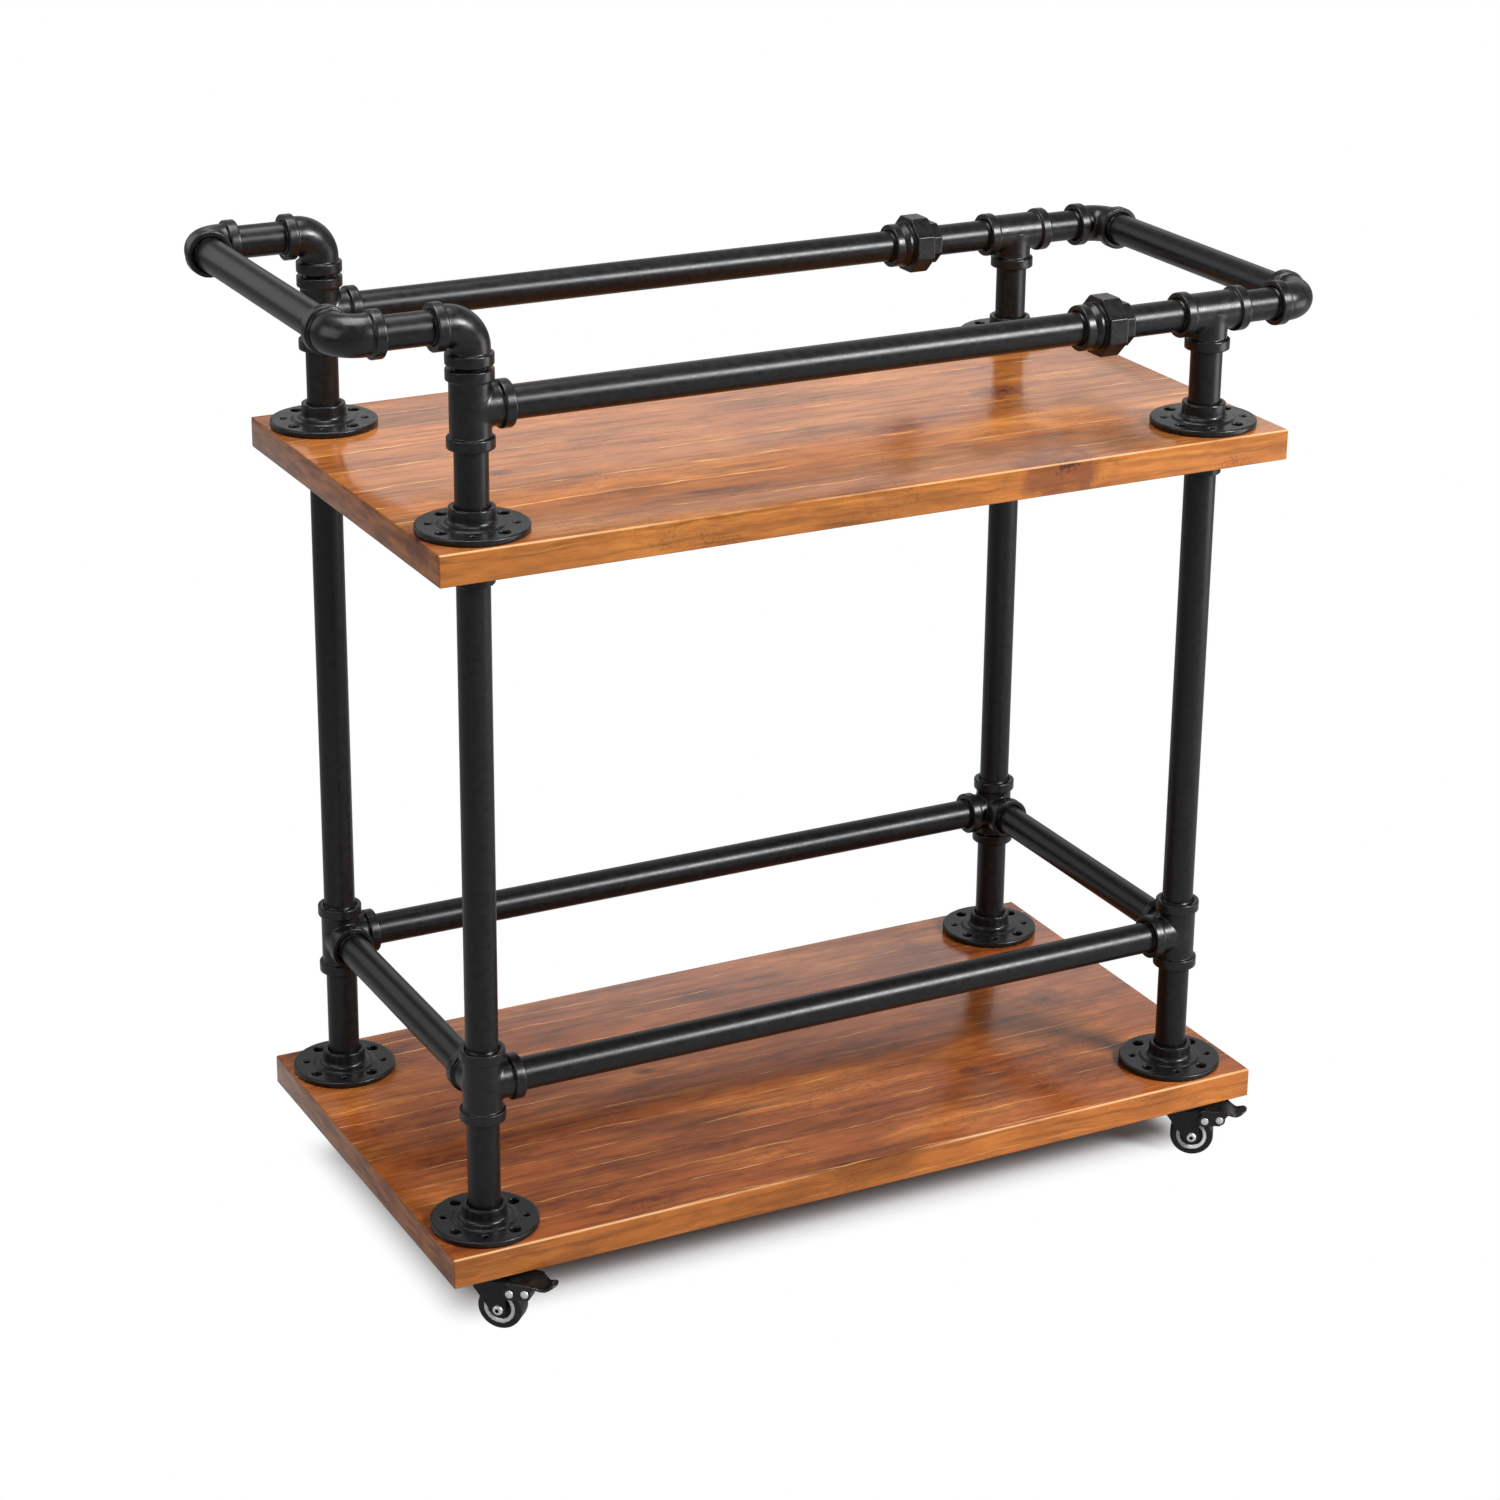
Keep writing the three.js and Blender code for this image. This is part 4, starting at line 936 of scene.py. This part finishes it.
screw_mesh = turned("plate_screw", [
    (0.0, 0.3), (0.0, 2.1), (-plate_thickness, 2.1), (-plate_thickness, 3.8), (-plate_thickness - 0.5, 3.7),
    (-plate_thickness - 1.0, 2.9), (-plate_thickness - 1.2, 1.5), (-plate_thickness - 0.5, 1.1),
    (-plate_thickness - 0.5, 0.3),
], zinc, sides=24)
joints = {joint["name"]: joint for joint in frame["joints"]}
swivels = {corner: Vector(joints["caster_swivel_" + corner]["pos_m"]) for corner in corners}
for corner, pivot in swivels.items():
    for name, mesh in (("swivel_plate_", plate_mesh), ("swivel_race_", race_mesh)):
        fit_piece(name + corner, mesh, Matrix.Translation(pivot), "caster_plate_" + corner)
    for i in range(4):
        turn = Matrix.Rotation(i * math.pi / 2, 4, "Z")
        spot = Matrix.Translation(pivot + turn @ Vector((screw_offset * MM, screw_offset * MM, 0)))
        fit_piece(f"plate_screw_{corner}_{i + 1}", screw_mesh, spot)

# ----
# The forks: steel sheet pressed into a crown with two cheeks that taper to the axle's eye,
# painted black. A zinc-plated bolt, round-headed on both cheeks, is the axle; on the braked
# pair, two rivets through the cheeks' lugs carry the pedal.

axle_back, axle_drop = 12.0, -32.0
eye_radius = 6.8
pivot_back, pivot_drop = 23.0, -14.4
lug_radius = 4.5
cheek_inside, cheek_outside = 10.0, 12.0
fork_toe, fork_heel = -13.0, 20.0


def round_points(x, z, radius, start, end, count):
    """Points on a round stretch of an outline, between two angles in degrees."""
    return [
        (x + radius * math.cos(math.radians(turn)), z + radius * math.sin(math.radians(turn)))
        for turn in np.linspace(start, end, count)
    ]


def from_outline(u, v, outline):
    """Distance to a closed outline in plan, negative inside it."""
    nearest = np.full(np.broadcast(u, v).shape, 1e6)
    inside = np.zeros(nearest.shape, bool)
    for (u1, v1), (u2, v2) in zip(outline, outline[1:] + outline[:1]):
        along = ((u - u1) * (u2 - u1) + (v - v1) * (v2 - v1)) / ((u2 - u1) ** 2 + (v2 - v1) ** 2)
        along = np.clip(along, 0, 1)
        nearest = np.minimum(nearest, np.hypot(u - u1 - along * (u2 - u1), v - v1 - along * (v2 - v1)))
        if v1 != v2:
            crosses = (v1 > v) != (v2 > v)
            inside ^= crosses & (u < (u2 - u1) * (v - v1) / (v2 - v1) + u1)
    return np.where(inside, -nearest, nearest)


cheek_outline = (
    [(fork_toe, crown_top + 1), (fork_toe, crown_floor - 2.0)]
    + round_points(axle_back, axle_drop, eye_radius, 195, 375, 15)
    + [(18.4, -21.5), (20.0, -18.6)]
    + round_points(pivot_back, pivot_drop, lug_radius, -60, 95, 11)
    + [(fork_heel, crown_top + 1)]
)


def bent_channel(y, z, half, top, bend):
    """Distance to the solid under a bent sheet: its sides hang down from rounded bends."""
    return rounded_corner(np.abs(y) - (half - bend), z - (top - bend)) - bend


def fork_form(x, y, z):
    outer = bent_channel(y, z, cheek_outside, crown_top, 3.0)
    inner = bent_channel(y, z, cheek_inside, crown_floor, 1.2)
    form = cut_from(np.maximum(outer, -inner), -from_outline(x, z, cheek_outline), 0.5)
    return cut_from(form, np.hypot(x, y) - 4.0, 0.3)


def mirrored(side):
    """A profile that is alike on both faces, from its points on one of them."""
    return [(-along, radius) for along, radius in reversed(side)] + side


fork_mesh = cast(
    "caster_fork", (fork_toe, -cheek_outside, axle_drop - eye_radius),
    (pivot_back + lug_radius, cheek_outside, crown_top), fork_form, pressing_step, caster_paint)
head_radius, head_height = 4.4, 2.0
head_face = cheek_outside + head_height
painted_shade_radius = 1.7
bolt_mesh = turned("axle_bolt", mirrored([
    (cheek_outside, 2.6), (cheek_outside, head_radius), (cheek_outside + head_height * 0.3, head_radius),
    (cheek_outside + head_height * 0.75, 4.0), (head_face, 3.3), (head_face, 1.8),
    (cheek_outside + 0.4, 1.5), (cheek_outside + 0.4, 0.3),
]), zinc, sides=36)
# The middle of each bolt head, its socket recess, takes the black paint: painted shade in the hollow.
bolt_mesh.materials.append(caster_paint)
for face in bolt_mesh.polygons:
    if face.center.xy.length < painted_shade_radius * MM:
        face.material_index = 1
ear_inside, ear_outside = 12.4, 14.2
rivet_radius, rivet_height = 3.4, 1.2


def rivet(name, inside, seat):
    """A domed rivet from inside a sheet out over its seat."""
    return turned(name, [
        (inside, 0.3), (inside, 2.2), (seat, 2.2), (seat, rivet_radius),
        (seat + rivet_height * 0.5, rivet_radius - 0.3), (seat + rivet_height * 0.9, rivet_radius * 0.6),
        (seat + rivet_height, rivet_radius * 0.3), (seat + rivet_height, 0.3),
    ], zinc, sides=36)


def in_fork(back, drop):
    """A place on the middle line of a caster, behind and below its king pin."""
    return Matrix.Translation(Vector((back, 0, drop)) * MM)


pivot_rivet_mesh = rivet("pivot_rivet", cheek_inside, ear_outside + swivel_gap)
z_to_left = Matrix.Rotation(-math.pi / 2, 4, "X")
both_cheeks = (("a", z_to_left), ("b", z_to_left.inverted()))
axle_line = in_fork(axle_back, axle_drop) @ z_to_left
pedal_corners = [corner for corner in corners if "brake_press_" + corner in joints]
caster_at = {}
for corner, pivot in swivels.items():
    axle = joints["wheel_spin_" + corner]["axis"]
    heading = math.atan2(-axle[0], axle[1])
    caster_at[corner] = Matrix.Translation(pivot) @ Matrix.Rotation(heading, 4, "Z")
for corner, where in caster_at.items():
    body, solid = "fork_" + corner, "caster_fork_" + corner
    fit_piece("pressed_fork_" + corner, fork_mesh, where, solid, body)
    fit_piece("axle_bolt_" + corner, bolt_mesh, where @ axle_line, solid, body)
    if corner in pedal_corners:
        for side, turn in both_cheeks:
            spot = where @ in_fork(pivot_back, pivot_drop) @ turn
            fit_piece(f"pivot_rivet_{corner}_{side}", pivot_rivet_mesh, spot, solid, body)

# ----
# The wheels: a black polyurethane tyre moulded over a core, whose pale rim shows as a ring
# round the black hub on both faces.

wheel_radius = 19.0
wheel_half = 9.0
tyre_shoulder = 2.6
rim_radius = 13.4
ring_inside = 10.1
hub_bore = 2.9
grain_depth = 0.06 * MM

tyre_rubber = painted(
    "tyre_rubber", (0.006, 0.006, 0.0062), (0.010, 0.010, 0.0102), 0.9 * MM, grain_depth, 0.24, 0.36, 0.36)
rim_plastic = painted(
    "rim_plastic", (0.92, 0.92, 0.91), (0.86, 0.86, 0.85), 0.9 * MM, grain_depth, 0.3, 0.45, 0.5)
hub_plastic = painted(
    "hub_plastic", (0.006, 0.006, 0.0062), (0.009, 0.009, 0.0092), 0.7 * MM, grain_depth, 0.35, 0.5, 0.3)
tyre_side = []
for turn in (0, 22, 45, 68, 90):
    out = tyre_shoulder * math.sin(math.radians(turn))
    up = tyre_shoulder * math.cos(math.radians(turn))
    tyre_side.append((wheel_half - tyre_shoulder + out, wheel_radius - tyre_shoulder + up))
tyre_side += [(wheel_half, rim_radius + 0.5), (wheel_half - 0.5, rim_radius)]
ring_side = [
    (wheel_half - 0.6, rim_radius - 0.05), (wheel_half - 0.5, rim_radius - 0.5),
    (wheel_half - 0.6, ring_inside + 0.4), (wheel_half - 1.1, ring_inside),
]
hub_side = [
    (wheel_half - 1.5, ring_inside - 0.05), (wheel_half - 2.1, ring_inside - 0.8), (wheel_half - 2.1, 6.0),
    (wheel_half - 1.5, 5.4), (wheel_half - 0.1, 5.0), (wheel_half + 0.4, 4.6), (wheel_half + 0.4, hub_bore),
]
wheel_parts = {
    "caster_tyre_": turned("tyre", mirrored(tyre_side), tyre_rubber, sides=72),
    "caster_rim_": turned("rim_ring", mirrored(ring_side), rim_plastic, sides=72),
    "caster_hub_": turned("wheel_hub", mirrored(hub_side), hub_plastic, sides=48),
}
for corner, where in caster_at.items():
    for name, mesh in wheel_parts.items():
        fit_piece(name + corner, mesh, where @ axle_line, "caster_wheel_" + corner,
                  "wheel_" + corner)

# ----
# The two brake pedals: black nylon, moulded in one with two ears outside the fork, a dished
# tread whose tip dips and turns up, and the block that bears on the tyre. A second rivet
# through the ears holds the brake spring.

pedal_tip = 59.5
pedal_tip_half = 10.0
tread_middle = -5.7
tread_half = 1.2
tread_dip, dip_start, dip_end = 4.5, 37, 50
tip_rise, rise_end = 4.0, 60
dish_depth, tread_ease = 1.1, 1.4
spring_back, spring_drop = 36.0, -12.6
ear_radius = 6.0
pivot_hole = 2.6
pad_start, pad_end, pad_foot, pad_half = 32.0, 37.0, -22.0, 7.5


def eased_step(value, start, end):
    share = np.clip((value - start) / (end - start), 0, 1)
    return share * share * (3 - 2 * share)


def tread_height(x):
    dip = tread_dip * eased_step(x, dip_start, dip_end)
    return tread_middle - dip + tip_rise * eased_step(x, dip_end, rise_end)


tread_plan = (
    [(19, -ear_outside), (41, -ear_outside), (dip_end, -pedal_tip_half)]
    + round_points(pedal_tip - pedal_tip_half, 0, pedal_tip_half, -75, 75, 9)
    + [(dip_end, pedal_tip_half), (41, ear_outside), (19, ear_outside)]
)
ear_outline = (
    round_points(pivot_back, pivot_drop, ear_radius, 110, 275, 9)
    + round_points(spring_back, spring_drop, 5.0, -75, 15, 6)
    + [(43.0, tread_middle - 1.5), (43.0, tread_middle), (19.0, tread_middle)]
)


def pedal_form(x, y, z):
    dish = dish_depth * eased_step(x, 38, 46) * np.clip(np.abs(y) / 12, 0, 1) ** 3
    middle = tread_height(x) + dish
    slope = tread_height(x + 0.5) - tread_height(x - 0.5)
    tread = np.abs(z - middle) / np.sqrt(1 + slope * slope) - tread_half
    tread = cut_from(tread, -from_outline(x, y, tread_plan), tread_ease)
    ear_middle = (ear_inside + ear_outside) / 2
    ear = np.abs(np.abs(y) - ear_middle) - (ear_outside - ear_inside) / 2
    ear = cut_from(ear, -from_outline(x, z, ear_outline), 0.5)
    pad = rounded_rectangle(x - (pad_start + pad_end) / 2, y, (pad_end - pad_start) / 2, pad_half, 1.0)
    pad = cut_from(pad, np.minimum(tread_middle - z, z - pad_foot), 0.6)
    form = blended(blended(tread, ear, 1.6), pad, 1.2)
    return cut_from(form, np.hypot(x - pivot_back, z - pivot_drop) - pivot_hole, 0.3)


pedal_nylon = painted(
    "pedal_nylon_skin", (0.006, 0.006, 0.0063), (0.010, 0.010, 0.0103),
    0.8 * MM, grain_depth, 0.22, 0.32, 0.4)
pedal_mesh = cast(
    "brake_pedal", (pivot_back - ear_radius, -ear_outside, pad_foot),
    (pedal_tip, ear_outside, tread_middle + 2.6), pedal_form, 0.6, pedal_nylon)
spring_rivet_mesh = rivet("spring_rivet", ear_inside, ear_outside)
for corner in pedal_corners:
    where, body = caster_at[corner], "pedal_" + corner
    fit_piece("foot_brake_" + corner, pedal_mesh, where, "brake_pedal_" + corner, body)
    for side, turn in both_cheeks:
        spot = where @ in_fork(spring_back, spring_drop) @ turn
        fit_piece(f"spring_rivet_{corner}_{side}", spring_rivet_mesh, spot, body=body)
